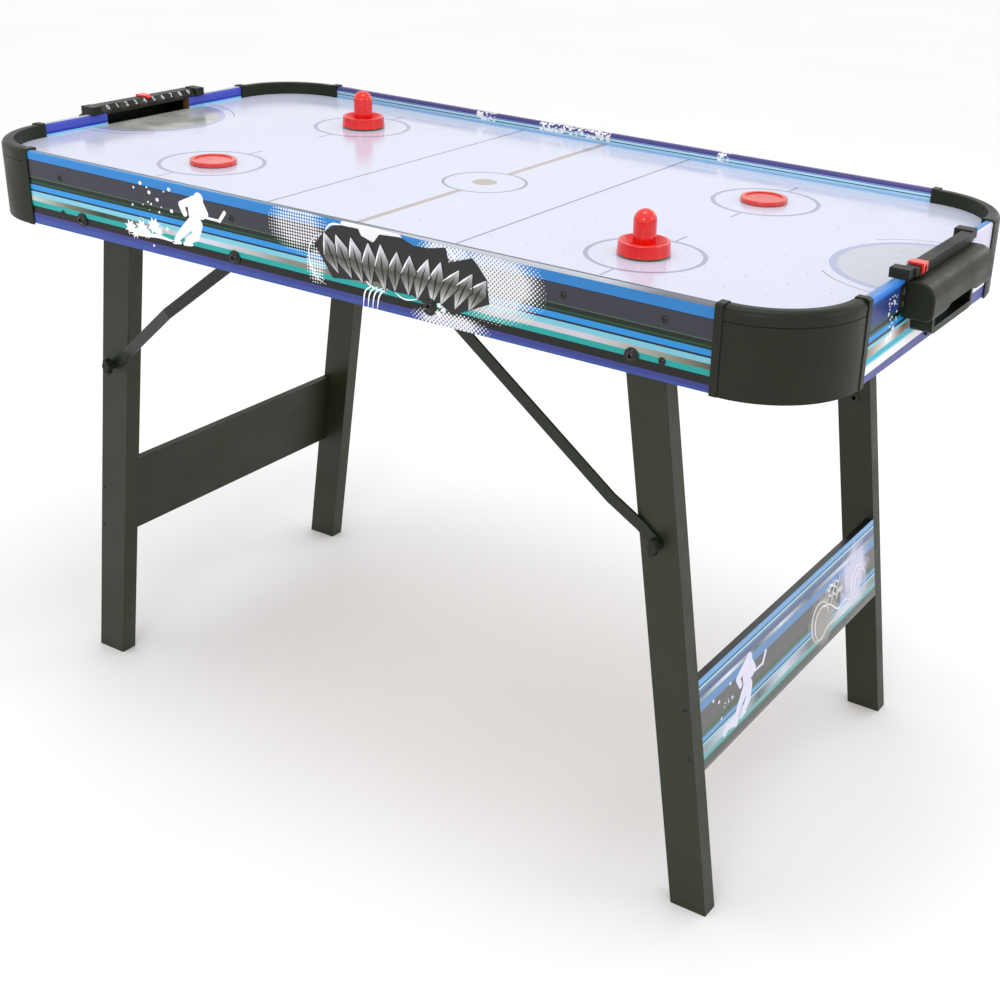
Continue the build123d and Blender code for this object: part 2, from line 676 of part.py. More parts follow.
def blower_grille():
    cover = disc(BLOWER_RADIUS, blower_low - 2.5, blower_low)
    for radius in (16, 28, 40):
        for slot in range(6):
            notch = disc(radius + 4, blower_low - 4, blower_low + 1) - disc(radius - 4, blower_low - 5, blower_low + 2)
            wedge = Rot(0, 0, 60 * slot) * block(0, 60, -radius * 0.36, radius * 0.36, blower_low - 4, blower_low + 1)
            cover -= notch & wedge
    return cover


blower_screws = []
for corner in range(4):
    turn = radians(45 + 90 * corner)
    x, y = flange_screw_radius * cos(turn), flange_screw_radius * sin(turn)
    blower_screws.append(disc(3.2, tray_bottom - 4.5, tray_bottom - 2.5, x, y))
    blower_screws[-1] += disc(1.5, tray_bottom - 3, tray_bottom + 2.6, x, y)
blower_place = Pos(BLOWER_X, 0, 0)
placed_screws = [blower_place * screw for screw in blower_screws]
housing = blower_place * blower_housing()
for screw in placed_screws:
    housing -= screw
    tray -= screw
nodes["plenum_tray"] = [tray]
nodes["blower_housing"] = [housing]
nodes["blower_motor"] = [blower_place * blower_motor()]
nodes["blower_impeller"] = [blower_place * blower_impeller()]
nodes["blower_grille"] = [blower_place * blower_grille()]
nodes["blower_screws"] = placed_screws


# Inlet, switch and the lead to the blower

def power_inlet():
    """Barrel of the socket, and its centre pin."""
    barrel = rod(5.5, inner_y - 5.5, half_width + 0.2, INLET_X, SOCKET_Z)
    barrel += rod(7.5, half_width, half_width + 1.8, INLET_X, SOCKET_Z)
    barrel -= rod(2.8, half_width - 9, half_width + 3, INLET_X, SOCKET_Z)
    pin = rod(1.0, half_width - 11, half_width, INLET_X, SOCKET_Z)
    return [barrel - pin, pin]


def switch_body():
    x, z = SWITCH_X, SOCKET_Z
    body = block(x - 6.4, x + 6.4, inner_y - 5.5, half_width + 0.2, z - 9.8, z + 9.8)
    body += block(x - 8, x + 8, half_width, half_width + 2, z - 12, z + 12)
    return body - block(x - 4.8, x + 4.8, half_width - 8, half_width + 3, z - 8.6, z + 8.6)


def switch_rocker():
    key = outline(Plane.YZ, (-4.6, 4), (1.2, 7.6), (4.4, 7.4), (3.2, 0), (4.4, -7.4), (1.2, -7.6), (-4.6, -4))
    key = extrude(key, 4.4, both=True)
    return Pos(SWITCH_X, half_width, SOCKET_Z) * Rot(ROCKER_TILT, 0, 0) * key


nodes["power_inlet"] = power_inlet()
nodes["switch_body"] = [switch_body()]
nodes["switch_rocker"] = [switch_rocker()]

lead_z = tray_bottom - 4.2
lead_path = FilletPolyline(
    (SWITCH_X, inner_y - 3.5, SOCKET_Z + 9.8), (SWITCH_X, inner_y - 3.5, lead_z), (SWITCH_X, 215, lead_z),
    (-70, 60, lead_z - 2), (BLOWER_X + BLOWER_RADIUS - 1, 0, lead_z - 5),
    radius=[5.5, 30, 40],
)
lead = sweep(Plane(origin=lead_path @ 0, z_dir=lead_path % 0) * Circle(1.6), path=lead_path)
nodes["blower_lead"] = [lead - housing]


def save(name, solids):
    shape = solids[0] if len(solids) == 1 else Compound(children=list(solids))
    shape.label = name
    export_step(shape, os.path.join("parts", f"{name}.step"))


os.makedirs("parts", exist_ok=True)
for node_name, node_solids in nodes.items():
    save(node_name, node_solids)
print(len(nodes), "nodes")
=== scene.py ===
"""Looks of the folding air hockey table: printed films, moulded plastics, studio and camera.

Lengths are metres in the table's frame: X along the table, Y to the rear, Z up, floor at 0.
Object coordinates of every piece are the table's own coordinates, so a print that reads them
stays on its piece when the piece moves.
"""
import json
import math
import random

import bmesh
import bpy
from mathutils import Matrix, Vector
from mathutils.geometry import tessellate_polygon


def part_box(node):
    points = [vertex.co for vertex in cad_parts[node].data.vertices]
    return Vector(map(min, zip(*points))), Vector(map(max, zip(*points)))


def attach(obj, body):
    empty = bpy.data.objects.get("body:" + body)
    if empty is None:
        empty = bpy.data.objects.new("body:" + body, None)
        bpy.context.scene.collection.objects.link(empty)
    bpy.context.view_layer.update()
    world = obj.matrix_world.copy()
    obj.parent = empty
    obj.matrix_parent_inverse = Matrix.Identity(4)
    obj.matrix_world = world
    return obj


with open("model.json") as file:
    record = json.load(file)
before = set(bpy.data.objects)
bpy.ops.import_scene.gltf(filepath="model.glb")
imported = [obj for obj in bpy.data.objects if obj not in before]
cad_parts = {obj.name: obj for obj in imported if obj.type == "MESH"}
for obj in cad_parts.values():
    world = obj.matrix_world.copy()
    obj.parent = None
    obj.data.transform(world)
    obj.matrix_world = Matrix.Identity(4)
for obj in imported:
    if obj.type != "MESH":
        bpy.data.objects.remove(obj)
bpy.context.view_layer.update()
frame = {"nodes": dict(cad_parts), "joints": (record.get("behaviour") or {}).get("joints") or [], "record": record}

MM = 0.001

# Sizes and places taken from the frame. The printed rings lie a little outside the resting pucks.
PUCK_RADIUS = 30 * MM
RING_SHIFT = 2.5 * MM
apron_low, apron_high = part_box("front_apron")
puck_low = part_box("left_puck")[0]
APRON_TOP = apron_high.z
APRON_BOTTOM = apron_low.z
APRON_HEIGHT = APRON_TOP - APRON_BOTTOM
WALL = apron_high.y - apron_low.y
HALF_WIDTH = -apron_low.y
HALF_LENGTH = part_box("right_end_apron")[1].x
CORNER = HALF_LENGTH - apron_high.x
FIELD_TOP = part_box("play_field")[1].z
RING_CENTRE = Vector((-puck_low.x - PUCK_RADIUS + RING_SHIFT, -puck_low.y - PUCK_RADIUS))
mounts = {mount["name"]: mount for mount in frame["record"]["mounts"]}
joints = {joint["name"]: joint for joint in frame["joints"]}
HINGE = Vector(joints["right_legs_fold"]["pos_m"])
FOOT = Vector(mounts["foot_right_front"]["pos_m"])
SPLAY = math.atan2(FOOT.x - HINGE.x, HINGE.z)

# The right legs and their cross panel: distances down the legs start at the hinge
LEG_HALF = 23.9 * MM
PANEL_START = 395 * MM
PANEL_DEPTH = 117 * MM
PANEL_HALF = 258 * MM


# Colours

def linear(level):
    """Scene-linear value of a display level from 0 to 255."""
    share = level / 255
    return share / 12.92 if share <= 0.04045 else ((share + 0.055) / 1.055) ** 2.4


# Light on a face: how much a white surface sends back, and what its gloss adds
FRONT_LIGHT = (1.04, 0.035)
END_LIGHT = (1.05, 0.055)
TOP_LIGHT = (1.33, 0.035)
DARK_LIGHT = (1.04, 0.018)
DARKEST = 0.003


def ink(color, light=FRONT_LIGHT):
    """Base colour that shows as this display colour in this light."""
    strength, gloss = light
    return tuple(max(DARKEST, (linear(level) - gloss) / strength) for level in color) + (1.0,)


WHITE = (250, 250, 253)
BLUE = (68, 140, 210)
SKY = (66, 156, 228)
CHARCOAL = (76, 77, 84)
LINE_GREEN = (92, 112, 100)
DARK_GREEN = (42, 60, 40)
MOSS = (50, 92, 72)
NIGHT = (8, 44, 76)
ICE = (136, 208, 226)
SILVER = (212, 212, 222)
TEAL = (58, 174, 170)
SOOT = (46, 52, 44)
PURPLE = (76, 82, 148)
VIOLET = (76, 94, 166)
FIBRE = (140, 108, 76)
BLACK_PLASTIC = (48, 51, 43)


# Material graphs

class Graph:
    """One material's nodes. Each helper adds a node and returns its output."""

    def __init__(self, name, roughness=0.5, metallic=0.0):
        self.material = bpy.data.materials.new(name)
        self.material.use_nodes = True
        self.tree = self.material.node_tree
        self.shader = self.tree.nodes["Principled BSDF"]
        self.put("Roughness", roughness)
        self.put("Metallic", metallic)
        self.place = self.node("ShaderNodeTexCoord").outputs["Object"]
        self.x, self.y, self.z = self.node("ShaderNodeSeparateXYZ", self.place).outputs
        self.normal = None

    def put(self, name, value):
        """Sets a constant on the shader."""
        self.shader.inputs[name].default_value = value

    def node(self, kind, *values, **settings):
        """A new node with these settings, and these values or links in its first inputs."""
        node = self.tree.nodes.new(kind)
        for key, value in settings.items():
            setattr(node, key, value)
        for socket, value in zip(node.inputs, values):
            self.feed(socket, value)
        return node

    def feed(self, socket, value):
        """Links or sets a socket, or leaves it as it is for None."""
        if isinstance(value, bpy.types.NodeSocket):
            self.tree.links.new(value, socket)
        elif value is not None:
            socket.default_value = value

    def math(self, operation, first, second=0.0, third=0.0):
        return self.node("ShaderNodeMath", first, second, third, operation=operation).outputs[0]

    def above(self, value, limit):
        return self.math("GREATER_THAN", value, limit)

    def below(self, value, limit):
        return self.math("LESS_THAN", value, limit)

    def between(self, value, low, high):
        return self.math("COMPARE", value, (low + high) / 2, (high - low) / 2)

    def both(self, first, second):
        return self.math("MULTIPLY", first, second)

    def either(self, first, second):
        return self.math("MAXIMUM", first, second)

    def away(self, first, second, centre_first, centre_second):
        """Distance in a plane from a centre."""
        offset_first = self.math("SUBTRACT", first, centre_first)
        offset_second = self.math("SUBTRACT", second, centre_second)
        total = self.math("MULTIPLY_ADD", offset_second, offset_second, self.math("POWER", offset_first, 2.0))
        return self.math("SQRT", total)

    def span(self, value, from_low, from_high, to_low, to_high):
        return self.node("ShaderNodeMapRange", value, from_low, from_high, to_low, to_high).outputs[0]

    def mix(self, factor, under, over):
        node = self.node("ShaderNodeMix", data_type="RGBA")
        self.feed(node.inputs[0], factor)
        self.feed(node.inputs[6], under)
        self.feed(node.inputs[7], over)
        return node.outputs[2]

    def ramp(self, factor, stops, light=FRONT_LIGHT, interpolation="LINEAR"):
        """Display colours along a factor."""
        node = self.node("ShaderNodeValToRGB", factor)
        ramp = node.color_ramp
        ramp.interpolation = interpolation
        ramp.elements.remove(ramp.elements[-1])
        ramp.elements[0].position, ramp.elements[0].color = stops[0][0], ink(stops[0][1], light)
        for position, color in stops[1:]:
            ramp.elements.new(position).color = ink(color, light)
        return node.outputs["Color"]

    def patch(self, along, centre, reach_along, reach_up):
        """1 at the middle of an ellipse in a print, 0 on its edge and negative outside."""
        first = self.math("DIVIDE", self.math("SUBTRACT", along, centre[0]), reach_along)
        second = self.math("DIVIDE", self.math("SUBTRACT", self.z, centre[1]), reach_up)
        total = self.math("MULTIPLY_ADD", second, second, self.math("MULTIPLY", first, first))
        return self.math("SUBTRACT", 1.0, total)

    def noise(self, scale, detail=2.0, place=None):
        node = self.node("ShaderNodeTexNoise", place or self.place)
        node.inputs["Scale"].default_value = scale
        node.inputs["Detail"].default_value = detail
        return node.outputs["Fac"]

    def stretched(self, x, y, z):
        """Coordinates scaled by axis, for grain and brushing."""
        return self.node("ShaderNodeVectorMath", self.place, (x, y, z), operation="MULTIPLY").outputs[0]

    def shade(self, color, amount, factor):
        """The colour darkened and lightened by a noise, by up to amount."""
        value = self.span(factor, 0.3, 0.7, 1 - amount, 1 + amount)
        node = self.node("ShaderNodeHueSaturation")
        self.feed(node.inputs["Value"], value)
        self.feed(node.inputs["Color"], color)
        return node.outputs["Color"]

    def relief(self, height, distance, strength=0.5):
        """Adds a bump on top of the bumps before."""
        node = self.node("ShaderNodeBump")
        node.inputs["Strength"].default_value = strength
        node.inputs["Distance"].default_value = distance
        self.feed(node.inputs["Height"], height)
        self.feed(node.inputs["Normal"], self.normal)
        self.normal = node.outputs["Normal"]

    def done(self, color, roughness=None):
        self.feed(self.shader.inputs["Base Color"], color)
        self.feed(self.shader.inputs["Roughness"], roughness)
        self.feed(self.shader.inputs["Normal"], self.normal)
        return self.material


def scuffs(graph, low, high):
    """Roughness of a used surface: broad smudges and fine rubs."""
    smudge = graph.noise(14.0, 3.0)
    rubs = graph.noise(130.0, 4.0)
    return graph.span(graph.math("MULTIPLY_ADD", rubs, 0.4, smudge), 0.5, 0.9, low, high)


# Plain materials

def moulded(name, color, roughness, grain=0.00012, variation=0.1):
    """Moulded plastic with a fine spark-eroded texture, handled in places."""
    graph = Graph(name)
    cloud = graph.noise(9.0, 3.0)
    graph.relief(graph.noise(1400.0, 2.0), grain, 0.35)
    graph.relief(graph.noise(45.0, 2.0), 0.0006, 0.05)
    graph.put("Specular IOR Level", 0.22)
    shaded = graph.shade(ink(color, DARK_LIGHT), variation, cloud)
    return graph.done(shaded, scuffs(graph, roughness - 0.07, roughness + 0.1))


def polished(name, color, roughness=0.2):
    """Glossy injection-moulded plastic with faint flow marks and fine scratches."""
    graph = Graph(name)
    graph.put("Coat Weight", 0.35)
    graph.put("Coat Roughness", 0.08)
    graph.put("Subsurface Weight", 0.06)
    graph.put("Subsurface Radius", (0.004, 0.0012, 0.0008))
    graph.relief(graph.noise(160.0, 2.0), 0.0003, 0.04)
    graph.relief(graph.noise(900.0, 3.0, graph.stretched(1.0, 1.0, 0.1)), 0.00004, 0.15)
    shaded = graph.shade(ink(color), 0.06, graph.noise(30.0, 2.0))
    return graph.done(shaded, scuffs(graph, roughness - 0.05, roughness + 0.12))


def metal(name, color, roughness, brushing=(1.0, 1.0, 1.0), scale=500.0):
    """Plated or brushed metal with grain and slight tarnish."""
    graph = Graph(name, metallic=1.0)
    grain = graph.noise(scale, 3.0, graph.stretched(*brushing))
    graph.relief(grain, 0.00005, 0.25)
    shaded = graph.shade(color, 0.18, graph.noise(60.0, 3.0))
    return graph.done(shaded, graph.span(grain, 0.3, 0.7, roughness - 0.08, roughness + 0.12))


def painted_steel(name):
    """Satin black paint with orange peel and chips that show lighter primer."""
    graph = Graph(name)
    graph.put("Specular IOR Level", 0.4)
    chips = graph.above(graph.noise(260.0, 3.0), 0.74)
    color = graph.mix(chips, ink((56, 59, 50)), ink((84, 84, 78)))
    graph.relief(graph.noise(420.0, 2.0), 0.0001, 0.25)
    return graph.done(graph.shade(color, 0.1, graph.noise(25.0, 2.0)), scuffs(graph, 0.36, 0.52))


def black_oxide(name):
    """Blackened steel of bolts and screws: glossy, with rubbed spots that are a little lighter."""
    graph = Graph(name)
    graph.put("Specular IOR Level", 0.3)
    graph.put("Coat Weight", 0.2)
    graph.put("Coat Roughness", 0.1)
    rubbed = graph.above(graph.noise(520.0, 2.0), 0.66)
    color = graph.mix(rubbed, (0.006, 0.006, 0.005, 1), (0.045, 0.042, 0.036, 1))
    graph.relief(graph.noise(700.0, 2.0), 0.00006, 0.3)
    return graph.done(graph.shade(color, 0.15, graph.noise(80.0, 2.0)), scuffs(graph, 0.18, 0.36))


def softwood(name):
    """Sawn pine: growth lines along the piece, lighter and darker bands, saw marks."""
    graph = Graph(name)
    lines = graph.noise(160.0, 4.0, graph.stretched(0.05, 1.0, 1.0))
    color = graph.ramp(lines, [(0.0, (173, 135, 89)), (0.45, (212, 177, 129)), (0.7, (226, 197, 153))])
    graph.relief(graph.noise(700.0, 3.0, graph.stretched(0.2, 1.0, 1.0)), 0.0002, 0.5)
    return graph.done(color, graph.span(lines, 0.3, 0.7, 0.55, 0.8))


def hardboard(name):
    """Pressed fibre board: dark flecks in a brown mat."""
    graph = Graph(name)
    flecks = graph.noise(900.0, 5.0)
    color = graph.ramp(flecks, [(0.3, (97, 69, 48)), (0.5, (149, 115, 79)), (0.7, (173, 139, 101))])
    graph.relief(flecks, 0.0002, 0.5)
    return graph.done(color, graph.span(flecks, 0.3, 0.7, 0.6, 0.85))


def pressed_felt(name):
    """Green felt: matted fibres with a soft sheen."""
    graph = Graph(name, roughness=0.95)
    graph.put("Sheen Weight", 0.5)
    graph.put("Sheen Roughness", 0.6)
    fibres = graph.noise(2600.0, 5.0)
    graph.relief(fibres, 0.0004, 0.8)
    return graph.done(graph.shade(ink((58, 104, 66)), 0.3, fibres))


def insulation(name):
    """Soft matt cable insulation."""
    graph = Graph(name)
    graph.relief(graph.noise(800.0, 2.0), 0.00005, 0.3)
    return graph.done(graph.shade(ink((54, 54, 54)), 0.1, graph.noise(40.0)), scuffs(graph, 0.5, 0.7))


def leg_film(name):
    """Black film over board: fine pressed grain down the leg, rubbed lighter in places."""
    graph = Graph(name)
    graph.put("Specular IOR Level", 0.4)
    grain = graph.noise(500.0, 4.0, graph.stretched(1.0, 1.0, 0.06))
    graph.relief(grain, 0.00012, 0.3)
    graph.relief(graph.noise(60.0), 0.0004, 0.06)
    color = graph.shade(ink((62, 65, 56)), 0.08, graph.noise(8.0, 3.0))
    raw = graph.below(graph.z, 0.15 * MM)
    return graph.done(graph.mix(raw, color, ink(FIBRE)), scuffs(graph, 0.38, 0.54))


# Printed films: where each colour starts, as a share of the way down a face or along it.
# RAIL is for the inner faces, TOP for the top edge, and FADE for the silver stripe along its length.

OUTER_STRIPES = [
    (0.0, BLUE), (0.13, NIGHT), (0.137, CHARCOAL), (0.365, LINE_GREEN), (0.376, DARK_GREEN), (0.426, MOSS),
    (0.452, DARK_GREEN), (0.475, SKY), (0.545, NIGHT), (0.568, ICE), (0.635, SILVER), (0.703, TEAL),
    (0.772, SOOT), (0.872, PURPLE), (0.93, VIOLET),
]
END_STRIPES = [
    (0.0, (88, 142, 224)), (0.075, (72, 106, 170)), (0.105, (78, 88, 136)), (0.35, (74, 100, 106)),
    (0.385, (42, 64, 46)), (0.43, (60, 114, 112)), (0.46, SKY), (0.525, NIGHT), (0.56, ICE), (0.6, SILVER),
    (0.705, (60, 184, 208)), (0.775, (165, 222, 232)), (0.8, WHITE), (0.9, (84, 84, 140)),
    (0.915, (95, 99, 160)),
]
REAR_RAIL = [
    (0.0, (88, 84, 140)), (0.3, (150, 158, 208)), (0.36, (112, 146, 196)), (0.42, (190, 236, 250)),
    (0.58, (42, 93, 114)), (0.66, (174, 214, 242)), (0.84, (150, 196, 238)),
]
FRONT_RAIL = [(0.0, (180, 184, 205)), (0.25, (70, 100, 150)), (0.4, (135, 200, 235)), (0.7, (95, 150, 215))]
LEFT_RAIL = [(0.0, (98, 106, 196)), (0.62, (80, 92, 184)), (0.84, (150, 215, 245))]
RIGHT_RAIL = [(0.0, (96, 150, 215)), (0.5, (84, 92, 170)), (0.7, (150, 205, 235))]
# The front top's outer band is print in blue on the left; its white stretch on the right is a painted highlight on
# the rounded outer edge.
FRONT_TOP_AND_HIGHLIGHT = [
    (0.1, (116, 160, 200)), (0.35, (170, 195, 222)), (0.5, (134, 142, 148)), (0.58, (222, 224, 232)),
    (0.8, (228, 232, 242)), (0.86, (150, 152, 162)),
]
FADE = [
    (0.1, (200, 209, 208)), (0.15, (125, 132, 116)), (0.2, (66, 74, 62)), (0.24, (84, 92, 82)),
    (0.28, (195, 196, 196)), (0.34, (220, 222, 240)), (0.4, (194, 198, 200)), (0.45, (150, 145, 133)),
    (0.64, (108, 110, 100)), (0.68, (204, 206, 208)), (0.78, (218, 214, 226)), (0.83, (190, 188, 178)),
    (0.9, (110, 108, 92)),
]
END_FADE = [
    (0.2, (150, 140, 120)), (0.25, (204, 200, 194)), (0.3, (238, 234, 244)), (0.335, (170, 150, 130)),
    (0.36, (124, 100, 80)), (0.45, (220, 220, 226)),
]

# How far the stripes start below the top edge, in apron heights, and how much they fall per metre
PRINT_DROP = 0.006
LONG_FALL = 0.0595
END_DROP = -0.032
END_FALL = -0.19

# White patches of the outer faces: a centre, then the reach along and up. Dots' radii are shares of
# their pitch. An end's far part is pale down to PALE_FOOT of its height.
DOT_PITCH = 3.7 * MM
SMALLEST_DOT = 0.14
LEFT_LARGEST = 0.4
RIGHT_LARGEST = 0.5
LEFT_DOTS = [((-44 * MM, 743 * MM), 46 * MM, 31 * MM), ((-19 * MM, 704 * MM), 15 * MM, 24 * MM)]
RIGHT_DOTS = [
    ((228 * MM, 731 * MM), 68 * MM, 48 * MM), ((172 * MM, 674 * MM), 54 * MM, 14 * MM),
    ((168 * MM, 754 * MM), 42 * MM, 13 * MM),
]
SPLASH = ((68 * MM, 757 * MM), 52 * MM, 13 * MM)
PALE_START = 60 * MM
PALE_FOOT = 0.875

# Bands of the films, measured from the outer face, the inner face or an edge
TOP_TURN = 0.6 * MM
# On the right part of the front apron the top colour reaches further down the outer face: a painted highlight on
# the rounded top edge.
TOP_HIGHLIGHT_TURN = 3.4 * MM
# The front top's dark band and the other tops' dark inner line are painted shade of the groove by the top's inner
# edge.
FRONT_SHADE_START = 4.6 * MM
FRONT_SHADE_END = 7.8 * MM
INNER_SHADE_WIDTH = 2.2 * MM
FLECK_DEPTH = 4 * MM
FLECK_RISE = 5 * MM
CAP_COVER = 6 * MM
RAW_EDGE = 0.2 * MM
MOUTH_HALF = 78.6 * MM
MOUTH_SIDE = 78.4 * MM
# Painted shade: a long apron's colour darkens towards the far end of its print, standing for light falling off
# along the face.
FAR_PAINTED_SHADE = 0.78


def half_tone(graph, along, patches, turned, largest):
    """Mask of white dots on a square grid that shrink towards the edges of the patches."""
    across, up = along, graph.z
    if turned:
        across = graph.math("MULTIPLY", graph.math("ADD", along, graph.z), math.sqrt(0.5))
        up = graph.math("MULTIPLY", graph.math("SUBTRACT", along, graph.z), math.sqrt(0.5))
    cell = [graph.math("FRACT", graph.math("DIVIDE", value, DOT_PITCH)) for value in (across, up)]
    reach = graph.away(cell[0], cell[1], 0.5, 0.5)
    inside = graph.patch(along, *patches[0])
    for patch in patches[1:]:
        inside = graph.either(inside, graph.patch(along, *patch))
    ragged = graph.math("MULTIPLY_ADD", graph.noise(45.0), 0.5, graph.math("SUBTRACT", inside, 0.25))
    radius = graph.span(ragged, 0.0, 0.7, SMALLEST_DOT, largest)
    return graph.both(graph.below(reach, radius), graph.above(ragged, 0.0))


def silver_spans(stripes):
    """Where the silver stripes start and end."""
    ends = [start for start, _ in stripes[1:]]
    return [(start, end) for (start, color), end in zip(stripes, ends) if color == SILVER]


def outer_face(graph, along, length, fraction, long_side, light):
    """Stripes of an outer face, with a silver one that fades along it, and white patches over them."""
    stripes = OUTER_STRIPES if long_side else END_STRIPES
    color = graph.ramp(fraction, stripes, light, "CONSTANT")
    fade = graph.ramp(length, FADE if long_side else END_FADE, light)
    color = graph.mix(graph.between(fraction, *silver_spans(stripes)[0]), color, fade)
    if not long_side:
        far = graph.both(graph.above(along, PALE_START), graph.below(fraction, PALE_FOOT))
        return graph.mix(far, color, ink((222, 221, 240), light))
    color = graph.mix(half_tone(graph, along, LEFT_DOTS, False, LEFT_LARGEST), color, ink(WHITE))
    color = graph.mix(half_tone(graph, along, RIGHT_DOTS, True, RIGHT_LARGEST), color, ink(WHITE))
    splash = graph.math("MULTIPLY_ADD", graph.noise(70.0, 3.0), 1.6, graph.patch(along, *SPLASH))
    return graph.mix(graph.above(splash, 1.0), color, ink(WHITE))


def top_edge(graph, depth, length, top):
    """Top edge in one colour with a dark inner line of painted shade, or for None in the front apron's three
    bands: an outer band with a painted highlight on its right part, a dark band of painted shade, and a light
    band.
    """
    if top:
        # Painted shade: a dark line along the top's inner edge.
        inner_shade = graph.above(depth, WALL - INNER_SHADE_WIDTH)
        return graph.mix(inner_shade, ink(top, TOP_LIGHT), ink((60, 62, 92), TOP_LIGHT))
    # Outer band: print in blue on the left, with a painted highlight in its white stretch on the right.
    outer_band_and_highlight = graph.ramp(length, FRONT_TOP_AND_HIGHLIGHT, TOP_LIGHT)
    # Painted shade: the dark middle band.
    bands = graph.mix(graph.above(depth, FRONT_SHADE_START), outer_band_and_highlight, ink((72, 92, 110), TOP_LIGHT))
    return graph.mix(graph.above(depth, FRONT_SHADE_END), bands, ink((178, 188, 200), TOP_LIGHT))


def bare_board(graph, color, depth, long_side):
    """The colour with bare board on cut edges and below the field, and an end's goal mouth lined."""
    raw = graph.either(
        graph.below(graph.z, APRON_BOTTOM + RAW_EDGE / 2),
        graph.both(graph.below(graph.z, FIELD_TOP - RAW_EDGE), graph.above(depth, WALL - RAW_EDGE)),
    )
    if not long_side:
        side_y = graph.math("ABSOLUTE", graph.y)
        mouth = graph.both(graph.below(side_y, MOUTH_HALF), graph.above(graph.z, FIELD_TOP - RAW_EDGE / 4))
        color = graph.mix(mouth, color, ink(BLACK_PLASTIC))
        raw = graph.either(raw, graph.both(mouth, graph.above(side_y, MOUTH_SIDE)))
    return graph.mix(raw, color, ink(FIBRE))


def apron_film(name, long_side, direction, top, rail, marks=()):
    """Printed film of one apron. direction is 1 where the print runs along +X or +Y, else -1.

    marks are the stretches along X of small white flecks on the inner face and the top.
    """
    graph = Graph(name)
    graph.put("Specular IOR Level", 0.35 if long_side else 0.2)
    light = FRONT_LIGHT if long_side else END_LIGHT
    along, across = (graph.x, graph.y) if long_side else (graph.y, graph.x)
    half_along, half_across = (HALF_LENGTH, HALF_WIDTH) if long_side else (HALF_WIDTH, HALF_LENGTH)
    along = graph.math("MULTIPLY", along, float(direction))
    length = graph.span(along, -half_along, half_along, 0.0, 1.0)
    drop = graph.math("SUBTRACT", APRON_TOP, graph.z)
    depth = graph.math("SUBTRACT", half_across, graph.math("ABSOLUTE", across))
    shift, fall = (PRINT_DROP, LONG_FALL) if long_side else (END_DROP, END_FALL)
    fraction = graph.math("SUBTRACT", graph.math("DIVIDE", drop, APRON_HEIGHT), shift)
    fraction = graph.math("MULTIPLY_ADD", along, -fall, fraction)
    color = outer_face(graph, along, length, fraction, long_side, light)
    rail_color = graph.ramp(graph.math("DIVIDE", drop, APRON_TOP - FIELD_TOP), rail, light, "CONSTANT")
    color = graph.mix(graph.above(depth, WALL / 2), color, rail_color)
    # On the front apron the top colour reaches further down on its right part, a painted highlight on the rounded
    # edge.
    turn = TOP_TURN if top else graph.span(length, 0.55, 0.7, TOP_TURN, TOP_HIGHLIGHT_TURN)
    top_and_highlight = graph.above(graph.math("ADD", graph.z, turn), APRON_TOP)
    color = graph.mix(top_and_highlight, color, top_edge(graph, depth, length, top))
    flecks = graph.above(graph.noise(210.0, 3.0), 0.5)
    for low, high in marks:
        stretch = graph.both(graph.between(graph.x, low, high), graph.above(graph.z, FIELD_TOP + FLECK_RISE))
        stretch = graph.both(stretch, graph.above(depth, FLECK_DEPTH))
        color = graph.mix(graph.both(stretch, flecks), color, ink(WHITE))
    color = bare_board(graph, color, depth, long_side)
    covered = graph.above(graph.math("ABSOLUTE", along), half_along - CORNER - CAP_COVER)
    color = graph.mix(covered, color, ink(BLACK_PLASTIC, DARK_LIGHT))
    # Painted shade: long aprons darken along their length, where the light falls off.
    if long_side:
        painted_shade = graph.node("ShaderNodeHueSaturation")
        graph.feed(painted_shade.inputs["Value"], graph.span(length, 0.1, 0.9, 1.0, FAR_PAINTED_SHADE))
        graph.feed(painted_shade.inputs["Color"], color)
        color = painted_shade.outputs["Color"]
    color = graph.shade(color, 0.025, graph.noise(22.0, 3.0))
    graph.relief(graph.noise(240.0, 2.0), 0.0001, 0.08)
    graph.relief(graph.noise(30.0, 2.0), 0.0005, 0.03)
    return graph.done(color, scuffs(graph, 0.24, 0.4))


PANEL_STRIPES = [
    (0.0, (128, 174, 222)), (0.055, (44, 98, 130)), (0.077, (176, 218, 236)), (0.1, (113, 136, 160)),
    (0.13, (105, 114, 148)), (0.192, SILVER), (0.238, (112, 150, 196)), (0.338, (112, 112, 112)),
    (0.55, (102, 112, 96)), (0.575, (88, 106, 86)), (0.6, (100, 124, 132)), (0.632, (126, 172, 214)),
    (0.672, (52, 106, 142)), (0.694, (160, 206, 226)), (0.722, SILVER), (0.818, (118, 178, 178)),
    (0.868, (80, 122, 118)), (0.888, (98, 104, 98)), (0.95, (118, 116, 120)),
]
PANEL_FADE = [
    (0.02, (150, 165, 168)), (0.14, (224, 232, 248)), (0.28, (100, 112, 112)), (0.42, (210, 216, 228)),
    (0.58, (108, 116, 118)), (0.8, (220, 222, 236)), (0.98, (136, 148, 146)),
]
PANEL_CLOUDS = [
    ((80 * MM, 228 * MM), 52 * MM, 36 * MM, (166, 160, 156)),
    ((186 * MM, 247 * MM), 52 * MM, 46 * MM, (212, 210, 236)),
]
PANEL_EDGE = 0.9 * MM


